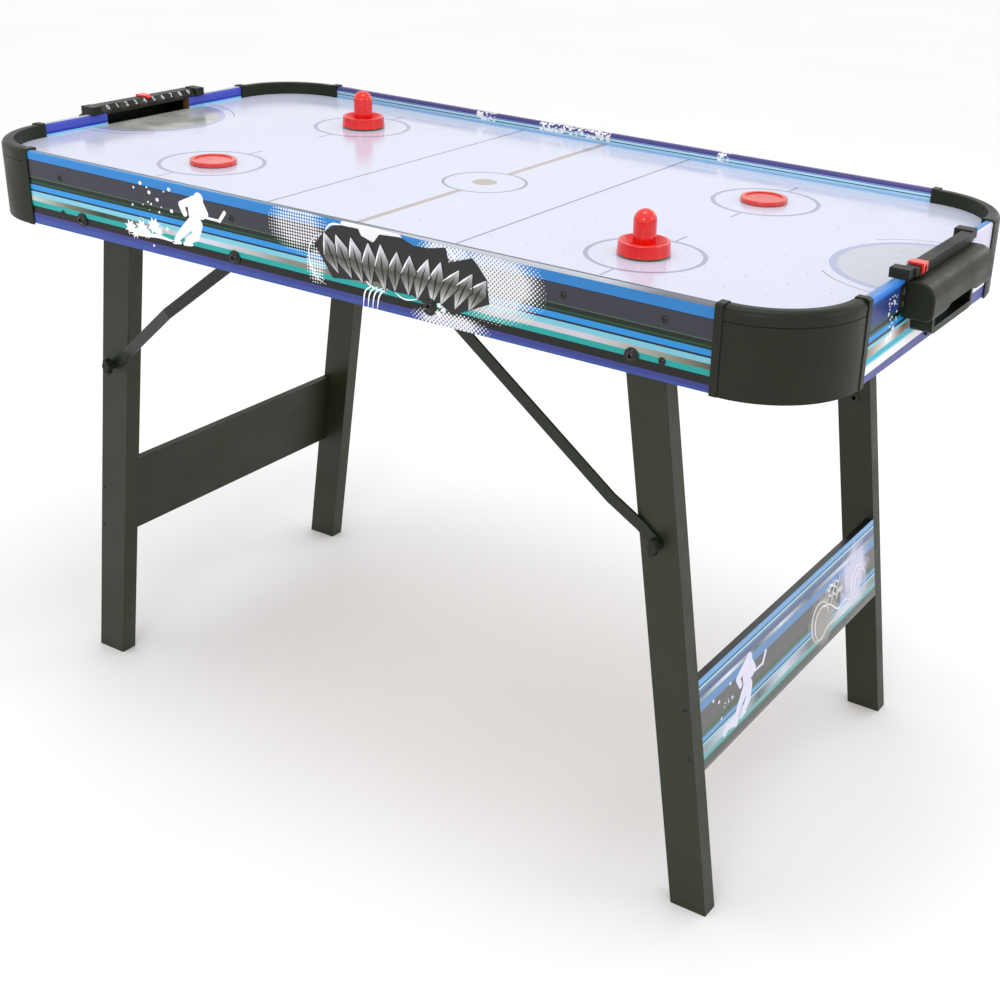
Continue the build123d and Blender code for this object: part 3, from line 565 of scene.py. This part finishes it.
def panel_film(name):
    """Printed film of the right cross panel. Its stripes follow the splayed legs."""
    graph = Graph(name)
    run = graph.math("SUBTRACT", graph.x, HINGE.x)
    rise = graph.math("SUBTRACT", graph.z, HINGE.z)
    run_down = graph.math("MULTIPLY", run, math.sin(SPLAY))
    rise_down = graph.math("MULTIPLY", rise, math.cos(SPLAY))
    station = graph.math("SUBTRACT", run_down, rise_down)
    run_out = graph.math("MULTIPLY", run, math.cos(SPLAY))
    rise_out = graph.math("MULTIPLY", rise, math.sin(SPLAY))
    outward = graph.math("ADD", run_out, rise_out)
    fraction = graph.span(station, PANEL_START, PANEL_START + PANEL_DEPTH, 0.0, 1.0)
    color = graph.ramp(fraction, PANEL_STRIPES, END_LIGHT, "CONSTANT")
    fade = graph.ramp(graph.span(graph.y, -PANEL_HALF, PANEL_HALF, 0.0, 1.0), PANEL_FADE, END_LIGHT)
    shiny = graph.either(*(graph.between(fraction, *span) for span in silver_spans(PANEL_STRIPES)))
    color = graph.mix(shiny, color, fade)
    smoke = graph.noise(55.0, 4.0)
    for centre, reach_along, reach_up, tone in PANEL_CLOUDS:
        cloud = graph.patch(graph.y, centre, reach_along, reach_up)
        cloud = graph.span(graph.math("MULTIPLY_ADD", smoke, 1.6, cloud), 0.75, 1.5, 0.0, 0.92)
        color = graph.mix(cloud, color, ink(tone, END_LIGHT))
    outside = graph.above(outward, LEG_HALF - PANEL_EDGE)
    color = graph.mix(outside, ink(SOOT), color)
    color = graph.shade(color, 0.03, graph.noise(22.0, 3.0))
    graph.relief(graph.noise(240.0, 2.0), 0.0001, 0.08)
    return graph.done(color, scuffs(graph, 0.24, 0.4))


# Playing field: radii and distances of its printed marks

GOAL_FILL = 98 * MM
GOAL_RIM = 107 * MM
GOAL_ARC = (118.8 * MM, 120.4 * MM)
GOAL_ARC_GAP = 78 * MM
CREASE = (137.6 * MM, 141.2 * MM)
MID_LINE_HALF = 4.5 * MM
MID_LINE_START = 55 * MM
CENTRE_RING = (51.4 * MM, 55.4 * MM)
CENTRE_DOT = 16 * MM
SIDE_RING = (64.1 * MM, 69.7 * MM)
TICK_HALF = 1.8 * MM
TICK_REACH = (66 * MM, 96 * MM)


def field_film(name):
    """Glossy white film with printed lines, rings and creases, faintly scuffed by the pucks."""
    graph = Graph(name)
    side_x = graph.math("ABSOLUTE", graph.x)
    side_y = graph.math("ABSOLUTE", graph.y)
    grey = ink((158, 165, 182), TOP_LIGHT)
    lavender = ink((172, 174, 206), TOP_LIGHT)
    taupe = ink((192, 178, 172), TOP_LIGHT)
    centre = graph.away(graph.x, graph.y, 0.0, 0.0)
    spot = graph.away(side_x, side_y, RING_CENTRE.x, RING_CENTRE.y)
    goal = graph.away(side_x, graph.y, HALF_LENGTH - WALL, 0.0)
    # The left goal crease is darker and mottled; the right one is plain and pale.
    crease_mottle = graph.span(graph.noise(28.0, 4.0), 0.35, 0.65, 0.0, 1.0)
    left_fill = graph.mix(crease_mottle, ink((176, 178, 170), TOP_LIGHT), ink((208, 210, 206), TOP_LIGHT))
    fill = graph.mix(graph.above(graph.x, 0.0), left_fill, ink((207, 212, 224), TOP_LIGHT))
    color = graph.mix(graph.below(goal, GOAL_FILL), ink((227, 232, 253), TOP_LIGHT), fill)
    color = graph.mix(graph.between(goal, GOAL_FILL, GOAL_RIM), color, ink((183, 188, 225), TOP_LIGHT))
    outer_arc = graph.both(graph.between(goal, *GOAL_ARC), graph.above(side_y, GOAL_ARC_GAP))
    color = graph.mix(outer_arc, color, ink((150, 130, 125), TOP_LIGHT))
    color = graph.mix(graph.between(side_x, *CREASE), color, ink((155, 158, 186), TOP_LIGHT))
    mid_line = graph.both(graph.below(side_x, MID_LINE_HALF), graph.above(centre, MID_LINE_START))
    color = graph.mix(mid_line, color, taupe)
    color = graph.mix(graph.between(centre, *CENTRE_RING), color, grey)
    color = graph.mix(graph.below(centre, CENTRE_DOT), color, taupe)
    color = graph.mix(graph.between(spot, *SIDE_RING), color, lavender)
    offset_y = graph.math("ABSOLUTE", graph.math("SUBTRACT", side_y, RING_CENTRE.y))
    near_line = graph.between(side_x, RING_CENTRE.x - TICK_HALF, RING_CENTRE.x + TICK_HALF)
    tick = graph.both(near_line, graph.between(offset_y, *TICK_REACH))
    color = graph.mix(tick, color, lavender)
    edge = graph.below(graph.z, FIELD_TOP - RAW_EDGE)
    color = graph.mix(edge, color, ink(FIBRE))
    color = graph.shade(color, 0.012, graph.noise(6.0, 3.0))
    graph.relief(graph.noise(25.0, 2.0), 0.0004, 0.03)
    graph.relief(graph.noise(700.0, 2.0), 0.00003, 0.1)
    return graph.done(color, scuffs(graph, 0.1, 0.24))


# Rails: black plastic, with lighter cells behind every second number

RAIL_LOW, RAIL_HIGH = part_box("right_score_rail")
NUMBER_PITCH = 17.2 * MM
CELLS_HALF = 90.5 * MM
CELLS_RISE = 2.2 * MM
CELLS_SETBACK = 2.8 * MM
SEAM = 0.02


def rail_plastic(name):
    """Black plastic of a score rail, whose sloped face is printed with cells."""
    graph = Graph(name)
    within_length = graph.below(graph.math("ABSOLUTE", graph.y), CELLS_HALF)
    within_height = graph.above(graph.z, RAIL_LOW.z + CELLS_RISE)
    inner_side = graph.below(graph.math("ABSOLUTE", graph.x), HALF_LENGTH - CELLS_SETBACK)
    face = graph.both(inner_side, graph.both(within_height, within_length))
    shifted = graph.math("ADD", graph.y, 10 * NUMBER_PITCH)
    cells = graph.math("FRACT", graph.math("DIVIDE", shifted, 2 * NUMBER_PITCH))
    lighter = graph.both(face, graph.above(cells, 0.5))
    seams = graph.both(face, graph.below(graph.math("PINGPONG", cells, 0.5), SEAM))
    color = graph.mix(lighter, ink((48, 50, 46), DARK_LIGHT), ink((62, 64, 60), DARK_LIGHT))
    color = graph.mix(seams, color, ink((40, 40, 38), DARK_LIGHT))
    graph.relief(graph.noise(1400.0, 2.0), 0.00012, 0.35)
    graph.put("Specular IOR Level", 0.22)
    return graph.done(graph.shade(color, 0.08, graph.noise(9.0, 3.0)), scuffs(graph, 0.36, 0.52))


# Inks of the printed motifs

SHARD_LOW = 688 * MM
SHARD_HIGH = 756 * MM


def chrome_ink(name):
    """Silver shading of the printed shards: light at the top, dark across the middle."""
    graph = Graph(name)
    height = graph.span(graph.z, SHARD_LOW, SHARD_HIGH, 0.0, 1.0)
    height = graph.math("MULTIPLY_ADD", graph.x, 0.3, height)
    bent = graph.math("MULTIPLY_ADD", graph.noise(28.0), 0.3, graph.math("SUBTRACT", height, 0.17))
    color = graph.ramp(bent, [
        (0.0, (170, 170, 168)), (0.16, (205, 205, 208)), (0.3, (130, 130, 124)), (0.44, (84, 86, 76)),
        (0.58, (140, 141, 142)), (0.76, (214, 214, 224)), (1.0, (188, 188, 196)),
    ])
    graph.relief(graph.noise(240.0, 2.0), 0.0001, 0.12)
    return graph.done(color, scuffs(graph, 0.24, 0.4))


def flat_ink(name, color, light=FRONT_LIGHT):
    """One ink of the print, with the film's own texture and a slightly uneven lay-down."""
    graph = Graph(name)
    graph.relief(graph.noise(240.0, 2.0), 0.0001, 0.12)
    return graph.done(graph.shade(ink(color, light), 0.03, graph.noise(40.0, 3.0)), scuffs(graph, 0.24, 0.4))


# Materials of the CAD nodes: a node's own, or else that of the first matching part of its name

REAR_MARKS = [(-224 * MM, -190 * MM), (-111 * MM, 10 * MM), (183 * MM, 200 * MM)]
VIOLET_TOP = (92, 88, 152)
GREY_TOP = (214, 212, 228)
BLUE_TOP = (110, 160, 225)
materials = {
    "front_apron": apron_film("front_apron_film", True, 1, None, FRONT_RAIL),
    "rear_apron": apron_film("rear_apron_film", True, -1, VIOLET_TOP, REAR_RAIL, REAR_MARKS),
    "left_end_apron": apron_film("left_end_film", False, -1, GREY_TOP, LEFT_RAIL),
    "right_end_apron": apron_film("right_end_film", False, 1, BLUE_TOP, RIGHT_RAIL),
    "play_field": field_film("field_film"),
    "right_cross_panel": panel_film("panel_film"),
    "plenum_tray": hardboard("hardboard"),
    "blower_motor": metal("motor_can", (0.5, 0.5, 0.5, 1), 0.35, (1.0, 1.0, 0.1)),
    "blower_lead": insulation("insulation"),
}
black_plastic = moulded("black_plastic", BLACK_PLASTIC, 0.4)
switch_plastic = moulded("switch_plastic", (48, 48, 48), 0.36)
score_plastic = rail_plastic("score_rail_plastic")
red_plastic = polished("red_plastic", (230, 58, 54), 0.22)
puck_plastic = polished("puck_plastic", (222, 74, 66), 0.26)
clip_plastic = polished("clip_plastic", (240, 70, 62), 0.3)
legs = leg_film("leg_film")
steel_paint = painted_steel("brace_paint")
dark_screw = black_oxide("black_oxide")
zinc = metal("zinc_plate", (0.6, 0.61, 0.6, 1), 0.34)
pine = softwood("softwood")
felt = pressed_felt("felt")
shared = {
    "_leg": legs, "left_cross_panel": legs, "_brace": steel_paint, "_knob": black_plastic,
    "corner_cap": black_plastic, "goal_box_screws": dark_screw, "goal_box": black_plastic,
    "score_rail": score_plastic, "score_slider": clip_plastic, "pusher_felt": felt, "pusher": red_plastic,
    "puck": puck_plastic, "apron_screws": dark_screw, "bolt": dark_screw, "panel_screws": dark_screw,
    "bushes": zinc, "nuts": zinc, "blower_screws": zinc, "inserts": zinc, "battens": pine, "cleats": pine,
    "stop_blocks": pine, "blower": black_plastic, "switch": switch_plastic, "inlet": switch_plastic,
}
for node_name, piece in frame["nodes"].items():
    found = materials.get(node_name) or next(shared[key] for key in shared if key in node_name)
    piece.data.materials.clear()
    piece.data.materials.append(found)


# Printed motifs: thin closed films laid on the aprons and the cross panel.
# A shape starts SUNK below the sheet. Its top is FILM above it, a LEVEL more for each piece under its
# own, and a LAYER more than the shape before, in turns of LAYERS.
FILM = 0.1 * MM
SUNK = 0.05 * MM
LAYER = 0.02 * MM
LAYERS = 6
LEVEL = 0.14 * MM


def placed(name, data):
    """A new object in the scene."""
    thing = bpy.data.objects.new(name, data)
    bpy.context.scene.collection.objects.link(thing)
    return thing


class Sheet:
    """Where a flat print lies: its (u, v) in millimetres become points of the table's frame."""

    def __init__(self, origin, along, up, half_length, low, high):
        self.origin = Vector(origin)
        self.along = Vector(along)
        self.up = Vector(up)
        self.out = self.along.cross(self.up)
        self.half_length, self.low, self.high = half_length, low, high

    def point(self, u, v, lift):
        return self.origin + self.along * (u * MM) + self.up * (v * MM) + self.out * lift

    def held(self, u, v):
        """The nearest place on the sheet."""
        return Vector((
            min(self.half_length, max(-self.half_length, u)), min(self.high, max(self.low, v)), 0
        ))


PRINT_LOW, PRINT_HIGH = APRON_BOTTOM / MM + 0.5, APRON_TOP / MM - 4.0
FRONT = Sheet((0, -HALF_WIDTH, 0), (1, 0, 0), (0, 0, 1), 600, PRINT_LOW, PRINT_HIGH)
REAR = Sheet((0, HALF_WIDTH, 0), (-1, 0, 0), (0, 0, 1), 600, PRINT_LOW, PRINT_HIGH)
RIGHT_END = Sheet((HALF_LENGTH, 0, 0), (0, 1, 0), (0, 0, 1), 295, PRINT_LOW, PRINT_HIGH)
LEFT_END = Sheet((-HALF_LENGTH, 0, 0), (0, -1, 0), (0, 0, 1), 295, PRINT_LOW, PRINT_HIGH)
outward = Vector((math.cos(SPLAY), 0, math.sin(SPLAY)))
upward = Vector((-math.sin(SPLAY), 0, math.cos(SPLAY)))
PANEL = Sheet(
    Vector((HINGE.x, 0, HINGE.z)) + outward * LEG_HALF, (0, 1, 0), upward, PANEL_HALF / MM - 1,
    -(PANEL_START + PANEL_DEPTH) / MM + 0.5, -PANEL_START / MM - 0.5,
)


class Print:
    """Collects closed prisms of one ink on one sheet into a single piece."""

    def __init__(self, name, sheet, material, body, slot, level=0):
        self.name, self.sheet, self.material = name, sheet, material
        self.body, self.slot = body, slot
        self.mesh = bmesh.new()
        self.level = level
        self.layer = 0

    def shape(self, points):
        """A flat film with this outline, a layer above the one before."""
        self.layer += 1
        lift = FILM + LEVEL * self.level + LAYER * (self.layer % LAYERS)
        corners = [self.sheet.held(u, v) for u, v in points]
        turn = sum(a.x * b.y - b.x * a.y for a, b in zip(corners, corners[1:] + corners[:1]))
        if turn < 0:
            corners.reverse()
        top = [self.mesh.verts.new(self.sheet.point(c.x, c.y, lift)) for c in corners]
        base = [self.mesh.verts.new(self.sheet.point(c.x, c.y, -SUNK)) for c in corners]
        for triangle in tessellate_polygon([corners]):
            a, b, c = (top[index] for index in triangle)
            self.mesh.faces.new((a, b, c))
            a, b, c = (base[index] for index in triangle)
            self.mesh.faces.new((c, b, a))
        for index in range(len(corners)):
            after = (index + 1) % len(corners)
            self.mesh.faces.new((base[index], base[after], top[after], top[index]))

    def finish(self):
        bmesh.ops.recalc_face_normals(self.mesh, faces=self.mesh.faces[:])
        data = bpy.data.meshes.new(self.name)
        self.mesh.to_mesh(data)
        self.mesh.free()
        data.materials.append(self.material)
        piece = placed(self.name, data)
        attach(piece, self.body)


def ring_points(u, v, radius, squash=1.0, count=20):
    """Outline of a round spot, flattened by squash."""
    turns = [2 * math.pi * step / count for step in range(count)]
    return [(u + radius * math.cos(turn), v + radius * squash * math.sin(turn)) for turn in turns]


def limb(start, end, start_radius, end_radius, steps=7):
    """Outline of a tapered stroke with round ends."""
    heading = math.atan2(end[1] - start[1], end[0] - start[0])
    points = []
    for centre, radius, first in ((end, end_radius, -math.pi / 2), (start, start_radius, math.pi / 2)):
        for step in range(steps + 1):
            turn = heading + first + math.pi * step / steps
            points.append((centre[0] + radius * math.cos(turn), centre[1] + radius * math.sin(turn)))
    return points


def ribbon(path, width, tip=0.15):
    """Outline of a stroke along a path that thins to its ends."""
    left, right = [], []
    last = len(path) - 1
    for index, (u, v) in enumerate(path):
        before, after = path[max(0, index - 1)], path[min(last, index + 1)]
        heading = math.atan2(after[1] - before[1], after[0] - before[0])
        half = width / 2 * max(tip, math.sin(math.pi * index / last))
        left.append((u - half * math.sin(heading), v + half * math.cos(heading)))
        right.append((u + half * math.sin(heading), v - half * math.cos(heading)))
    return left + right[::-1]


def arc_path(u, v, radius, start, end, count=18):
    """Path along an arc between two angles in degrees."""
    turns = [math.radians(start + (end - start) * step / count) for step in range(count + 1)]
    return [(u + radius * math.cos(turn), v + radius * math.sin(turn)) for turn in turns]


def smooth(path, rounds=3):
    """Corner-cut curve through a coarse path."""
    for _ in range(rounds):
        cut = [path[0]]
        for a, b in zip(path, path[1:]):
            cut.append((a[0] * 0.75 + b[0] * 0.25, a[1] * 0.75 + b[1] * 0.25))
            cut.append((a[0] * 0.25 + b[0] * 0.75, a[1] * 0.25 + b[1] * 0.75))
        path = cut + [path[-1]]
    return path


def blot(chance, u, v, radius, spikes=9, rough=0.45):
    """Outline of an ink splash: spikes with hollows between them."""
    points = []
    for step in range(spikes * 2):
        turn = math.pi * step / spikes
        spike = step % 2 == 1
        share = 1 + rough * chance.uniform(0.2, 1.0) if spike else chance.uniform(0.55, 0.8)
        reach = radius * share
        points.append((u + reach * math.cos(turn), v + reach * math.sin(turn)))
    return points


# Strokes of the skater sign: start, end, and the radius at each
SKATER = [
    ((21, 61), (21, 62), 7.5, 7.5), ((14, 53), (13, 34), 11.5, 9.0), ((6, 56), (-8, 50), 5.0, 4.5),
    ((-8, 50), (-3, 40), 4.5, 4.0), ((25, 54), (31, 45), 5.5, 4.5), ((31, 45), (25, 41), 4.5, 4.0),
    ((9, 31), (-6, 19), 7.5, 5.5), ((-6, 19), (-20, 5), 5.5, 3.6), ((-25, 1), (-14, 2), 2.4, 2.0),
    ((17, 30), (13, 15), 8.0, 6.0), ((13, 15), (-2, 6), 6.0, 4.0), ((-7, 2), (5, 3), 2.4, 2.0),
    ((24, 41), (53, 40.5), 1.5, 1.5), ((53, 40.5), (62, 52), 2.2, 2.4),
]


def skater(print_, u, v, scale):
    """A plain skater sign: round head, thick limbs and a stick."""
    for start, end, start_radius, end_radius in SKATER:
        start = (u + start[0] * scale, v + start[1] * scale)
        end = (u + end[0] * scale, v + end[1] * scale)
        print_.shape(limb(start, end, start_radius * scale, end_radius * scale))


def dots(print_, places, radius):
    """Round spots at chosen places."""
    for u, v in places:
        print_.shape(ring_points(u, v, radius, 0.9, 12))


def droplets(print_, chance, u_range, v_range, count, small, large):
    """Round spots scattered over a range."""
    for _ in range(count):
        u, v = chance.uniform(*u_range), chance.uniform(*v_range)
        print_.shape(ring_points(u, v, chance.uniform(small, large), 0.9, 12))


# Black ground of the silver shards
GROUND = [
    (-20, 728), (-2, 747), (9, 754), (20, 757), (45, 757), (49, 750), (66, 745), (75, 756), (105, 758),
    (122, 752), (142, 753), (166, 758), (170, 742), (201, 753), (209, 746), (220, 733), (224, 706),
    (176, 684), (157, 694), (136, 689), (121, 695), (92, 694), (71, 701), (33, 696), (6, 693), (-14, 721),
]
SHARD_COUNT = 12
SHARD_SPACING = 18.5


def shard_outline(place, length, width, lean):
    """A kite that leans to the right by so many degrees."""
    turn = math.radians(lean)
    corners = [(0.0, -0.5), (0.5, 0.12), (0.12, 0.5), (-0.5, -0.04)]
    return [
        (place[0] + a * width * math.cos(turn) + b * length * math.sin(turn),
         place[1] + b * length * math.cos(turn) - a * width * math.sin(turn))
        for a, b in corners
    ]


def shards(silver, slit, glint, chance):
    """A fan of silver shards, each with a dark split and a bright edge."""
    for step in range(SHARD_COUNT):
        share = step / (SHARD_COUNT - 1)
        place = (4 + SHARD_SPACING * step, 722 - 9 * share)
        lean = -30 + 62 * share + chance.uniform(-6, 6)
        outline = shard_outline(place, chance.uniform(46, 56), 23, lean)
        silver.shape(outline)
        foot, right, tip, left = (Vector(corner) for corner in outline)
        waist = right.lerp(left, 0.5)
        low, high = foot.lerp(waist, 0.1), waist.lerp(tip, 0.55)
        slit.shape([low, waist.lerp(right, 0.12), high, waist.lerp(left, 0.12)])
        slit.shape(ribbon([foot, foot.lerp(right, 0.5), right, right.lerp(tip, 0.5), tip], 1.7, 0.5))
        glint.shape(ribbon([left.lerp(tip, 0.1), left.lerp(tip, 0.5), left.lerp(tip, 0.92)], 2.0, 0.2))


def long_side_print(label, sheet, seed):
    """The motifs of a long apron's outer face."""
    chance = random.Random(seed)
    ground = Print(f"{label}_print_black", sheet, black_ink, "table", "apron", 1)
    silver = Print(f"{label}_print_silver", sheet, silver_ink, "table", "apron", 2)
    slit = Print(f"{label}_print_slits", sheet, black_ink, "table", "apron", 3)
    white = Print(f"{label}_print_white", sheet, white_ink, "table", "apron")
    glint = Print(f"{label}_print_glints", sheet, white_ink, "table", "apron", 3)
    skater(white, -219, 688, 1.0)
    for u, v in ((-317, 694), (-297, 697), (-276, 703)):
        white.shape(blot(chance, u, v, 10, 8, 0.15))
        white.shape(blot(chance, u + 8, v - 5, 6, 8, 0.5))
    white.shape(ribbon(smooth([(-322, 687), (-300, 688), (-270, 692), (-242, 689)]), 5.0, 0.2))
    dots(white, [(-294, 753), (-280, 744), (-267, 737), (-246, 753), (-244, 727), (-254, 703)], 2.6)
    dots(white, [(-306, 746), (-310, 724), (-278, 730), (-265, 722), (-303, 688), (-279, 678)], 1.6)
    droplets(white, chance, (-308, -240), (700, 756), 12, 0.6, 1.4)
    for step in range(4):
        path = [(64 + 7 * step, 695), (52 + 7 * step, 688), (50 + 6.6 * step, 669)]
        white.shape(ribbon(smooth(path), 1.9, 0.5))
    white.shape(ribbon(smooth([(52, 701), (62, 693), (84, 691)]), 1.8, 0.3))
    white.shape(ribbon(arc_path(-2, 715, 27, 105, 260), 1.5, 0.4))
    white.shape(ribbon(arc_path(0, 713, 30, 190, 262), 1.3, 0.3))
    white.shape(ribbon(smooth([(-4, 745), (4, 756), (20, 758), (34, 757)]), 2.6, 0.4))
    white.shape(ribbon(arc_path(162, 741, 17, 78, 0), 1.4, 0.4))
    white.shape(ribbon(smooth([(95, 694), (109, 687), (127, 692)]), 1.6, 0.3))
    for u, v, size in ((158, 692, 4.0), (163, 687, 3.0), (156, 681, 3.4), (148, 680, 2.4)):
        white.shape(blot(chance, u, v, size))
    ground.shape(GROUND)
    shards(silver, slit, glint, chance)
    slit.shape(ring_points(144, 684, 7.5, 1.0, 18))
    glint.shape(ring_points(143, 686, 1.6, 1.0, 10))
    for print_ in (ground, silver, slit, white, glint):
        print_.finish()


def end_print(label, sheet, seed):
    """Droplets and soft flecks on an end apron's outer face."""
    chance = random.Random(seed)
    white = Print(f"{label}_print_white", sheet, white_ink, "table", "apron")
    droplets(white, chance, (-138, -110), (714, 750), 20, 0.7, 1.6)
    spots = [(-131, 703, 4.5), (-122, 705, 4.0), (-117, 711, 3.0), (-120, 740, 2.4), (-134, 731, 2.2)]
    for u, v, size in spots:
        white.shape(blot(chance, u, v, size))
    white.finish()


def panel_print():
    """The motifs of the right cross panel's outer face."""
    chance = random.Random(31)
    white = Print("cross_panel_print_white", PANEL, haze_ink, "right_legs", "panel_print", 1)
    scrawl = Print("cross_panel_print_scrawl", PANEL, white_ink, "right_legs", "panel_print", 2)
    skater(white, -156, -492, 1.08)
    for u, v, size in ((-197, -485, 7), (-186, -487, 6), (-206, -489, 5), (-176, -491, 5)):
        white.shape(blot(chance, u, v, size))
    dots(white, [(-184, -434), (-227, -436), (-214, -444), (-181, -454)], 2.4)
    droplets(white, chance, (-214, -182), (-470, -448), 8, 0.6, 1.6)
    for u, v, radius in ((77, -474, 23), (72, -470, 28), (204, -467, 19), (198, -464, 24)):
        scrawl.shape(ribbon(arc_path(u, v, radius, 20, 250), 1.6, 0.3))
    scrawl.shape(ribbon(smooth([(78, -450), (104, -456), (128, -478), (152, -470), (170, -480)]), 1.8, 0.3))
    scrawl.shape(ribbon(smooth([(52, -490), (74, -496), (92, -484), (118, -486), (140, -472)]), 1.6, 0.3))
    for step in range(9):
        u, v = 96 + 5 * step, -437 - 9 * math.sin(step * 1.9) - 1.2 * step
        scrawl.shape(ribbon(smooth([(u - 9, v - 8), (u, v + 7), (u + 7, v - 4), (u + 12, v + 6)]), 1.5, 0.3))
    for print_ in (white, scrawl):
        print_.finish()


white_ink = flat_ink("white_ink", WHITE)
haze_ink = flat_ink("haze_ink", (228, 226, 246), END_LIGHT)
black_ink = flat_ink("black_ink", (46, 47, 40))
silver_ink = chrome_ink("silver_ink")
number_ink = flat_ink("number_ink", (205, 206, 208))
long_side_print("front_apron", FRONT, 7)
long_side_print("rear_apron", REAR, 11)
end_print("right_end", RIGHT_END, 17)
end_print("left_end", LEFT_END, 19)
panel_print()


# Numbers on the score rails

NUMBER_HEIGHT = 7.2 * MM
NUMBER_LIFT = 0.12 * MM
NUMBER_WEIGHT = 0.2 * MM
TEXT_SIZE = NUMBER_HEIGHT * 1.4
MIDDLE_DIGIT = 4.5

# The sloped face that the numbers lie on
NUMBER_FACE = 6.6 * MM
FACE_GAP = 0.5 * MM
NUMBER_OFFSET = 4 * MM
RAIL_TOP = RAIL_HIGH.z - 1.5 * MM


def rail_number(digit, side):
    """A raised white digit on the sloped face. side is 1 on the right rail, -1 on the left."""
    curve = bpy.data.curves.new(f"number_{digit}", "FONT")
    curve.body = str(digit)
    curve.size = TEXT_SIZE
    curve.align_x, curve.align_y = "CENTER", "CENTER"
    curve.extrude = NUMBER_LIFT
    curve.offset = NUMBER_WEIGHT
    shape = bpy.data.objects.new(f"number_{digit}", curve)
    data = bpy.data.meshes.new_from_object(shape)
    bpy.data.objects.remove(shape)
    foot = Vector((side * (HALF_LENGTH - WALL - FACE_GAP), 0, RAIL_TOP - NUMBER_FACE))
    crown = foot + Vector((side * NUMBER_FACE, 0, NUMBER_FACE))
    up = (crown - foot).normalized()
    along = Vector((0, -side, 0))
    out = along.cross(up)
    middle = (foot + crown) / 2 + along * ((digit - MIDDLE_DIGIT) * NUMBER_PITCH + NUMBER_OFFSET)
    place = Matrix((
        (along.x, up.x, out.x, middle.x), (along.y, up.y, out.y, middle.y),
        (along.z, up.z, out.z, middle.z), (0, 0, 0, 1),
    ))
    data.transform(place)
    name = "right" if side > 0 else "left"
    data.materials.append(number_ink)
    piece = placed(f"{name}_rail_number_{digit}", data)
    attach(piece, "table")


for rail_side in (-1, 1):
    for number in range(10):
        rail_number(number, rail_side)


# Studio and camera

FLOOR_REACH = 9.0
WORLD_STRENGTH = 1.04


def pale_floor():
    """A pale matt floor, faintly mottled."""
    graph = Graph("floor_paint")
    color = graph.shade((0.93, 0.93, 0.935, 1), 0.01, graph.noise(1.5, 3.0))
    graph.relief(graph.noise(60.0), 0.0005, 0.05)
    return graph.done(color, graph.span(graph.noise(3.0), 0.3, 0.7, 0.6, 0.75))


def floor():
    """The floor that the table stands on. It isn't part of the object."""
    mesh = bmesh.new()
    bmesh.ops.create_grid(mesh, x_segments=8, y_segments=8, size=FLOOR_REACH)
    data = bpy.data.meshes.new("floor")
    mesh.to_mesh(data)
    mesh.free()
    data.materials.append(pale_floor())
    piece = placed("floor", data)


def softbox(name, place, target, width, height, power):
    """A rectangular area light that faces a target."""
    light = bpy.data.lights.new(name, "AREA")
    light.shape = "RECTANGLE"
    light.size, light.size_y = width, height
    light.energy = power
    lamp = placed(name, light)
    lamp.location = place
    lamp.rotation_euler = (Vector(target) - Vector(place)).to_track_quat("-Z", "Y").to_euler()


def studio():
    """A bright even surround and four soft lights."""
    world = bpy.data.worlds.new("studio")
    world.use_nodes = True
    background = world.node_tree.nodes["Background"]
    background.inputs["Color"].default_value = (1.0, 1.0, 1.0, 1.0)
    background.inputs["Strength"].default_value = WORLD_STRENGTH
    bpy.context.scene.world = world
    softbox("overhead_softbox", (0.2, -0.2, 2.9), (0, 0, 0.7), 1.1, 0.6, 12)
    softbox("front_softbox", (0.9, -3.0, 1.9), (0.1, -0.2, 0.6), 0.9, 0.6, 14)
    softbox("side_softbox", (3.2, 0.6, 1.7), (0.3, 0, 0.6), 1.4, 1.2, 8)
    softbox("rear_softbox", (1.2, 3.0, 2.0), (0.4, 0, 0.7), 0.8, 0.5, 6)


CAMERA_PLACE = (1.135, -1.5975, 1.2267)
CAMERA_YAW = -0.5217
CAMERA_PITCH = 0.442
CAMERA_ROLL = 0.0485
CAMERA_LENS = 55.22
CAMERA_SHIFT = -0.1159
SENSOR_WIDTH = 36.0


def camera():
    """Camera from its place and its yaw, downward pitch and roll, in radians."""
    data = bpy.data.cameras.new("camera")
    data.lens = CAMERA_LENS
    data.sensor_width = SENSOR_WIDTH
    data.shift_x = CAMERA_SHIFT
    forward = Vector((
        math.sin(CAMERA_YAW) * math.cos(CAMERA_PITCH), math.cos(CAMERA_YAW) * math.cos(CAMERA_PITCH),
        -math.sin(CAMERA_PITCH),
    ))
    level = Vector((math.cos(CAMERA_YAW), -math.sin(CAMERA_YAW), 0))
    above = level.cross(forward)
    right = level * math.cos(CAMERA_ROLL) + above * math.sin(CAMERA_ROLL)
    up = above * math.cos(CAMERA_ROLL) - level * math.sin(CAMERA_ROLL)
    view = placed("camera", data)
    turn = Matrix((right, up, -forward)).transposed()
    view.matrix_world = Matrix.Translation(CAMERA_PLACE) @ turn.to_4x4()
    bpy.context.scene.camera = view


floor()
studio()
camera()
bpy.context.scene.view_settings.view_transform = "Standard"

bpy.context.view_layer.update()
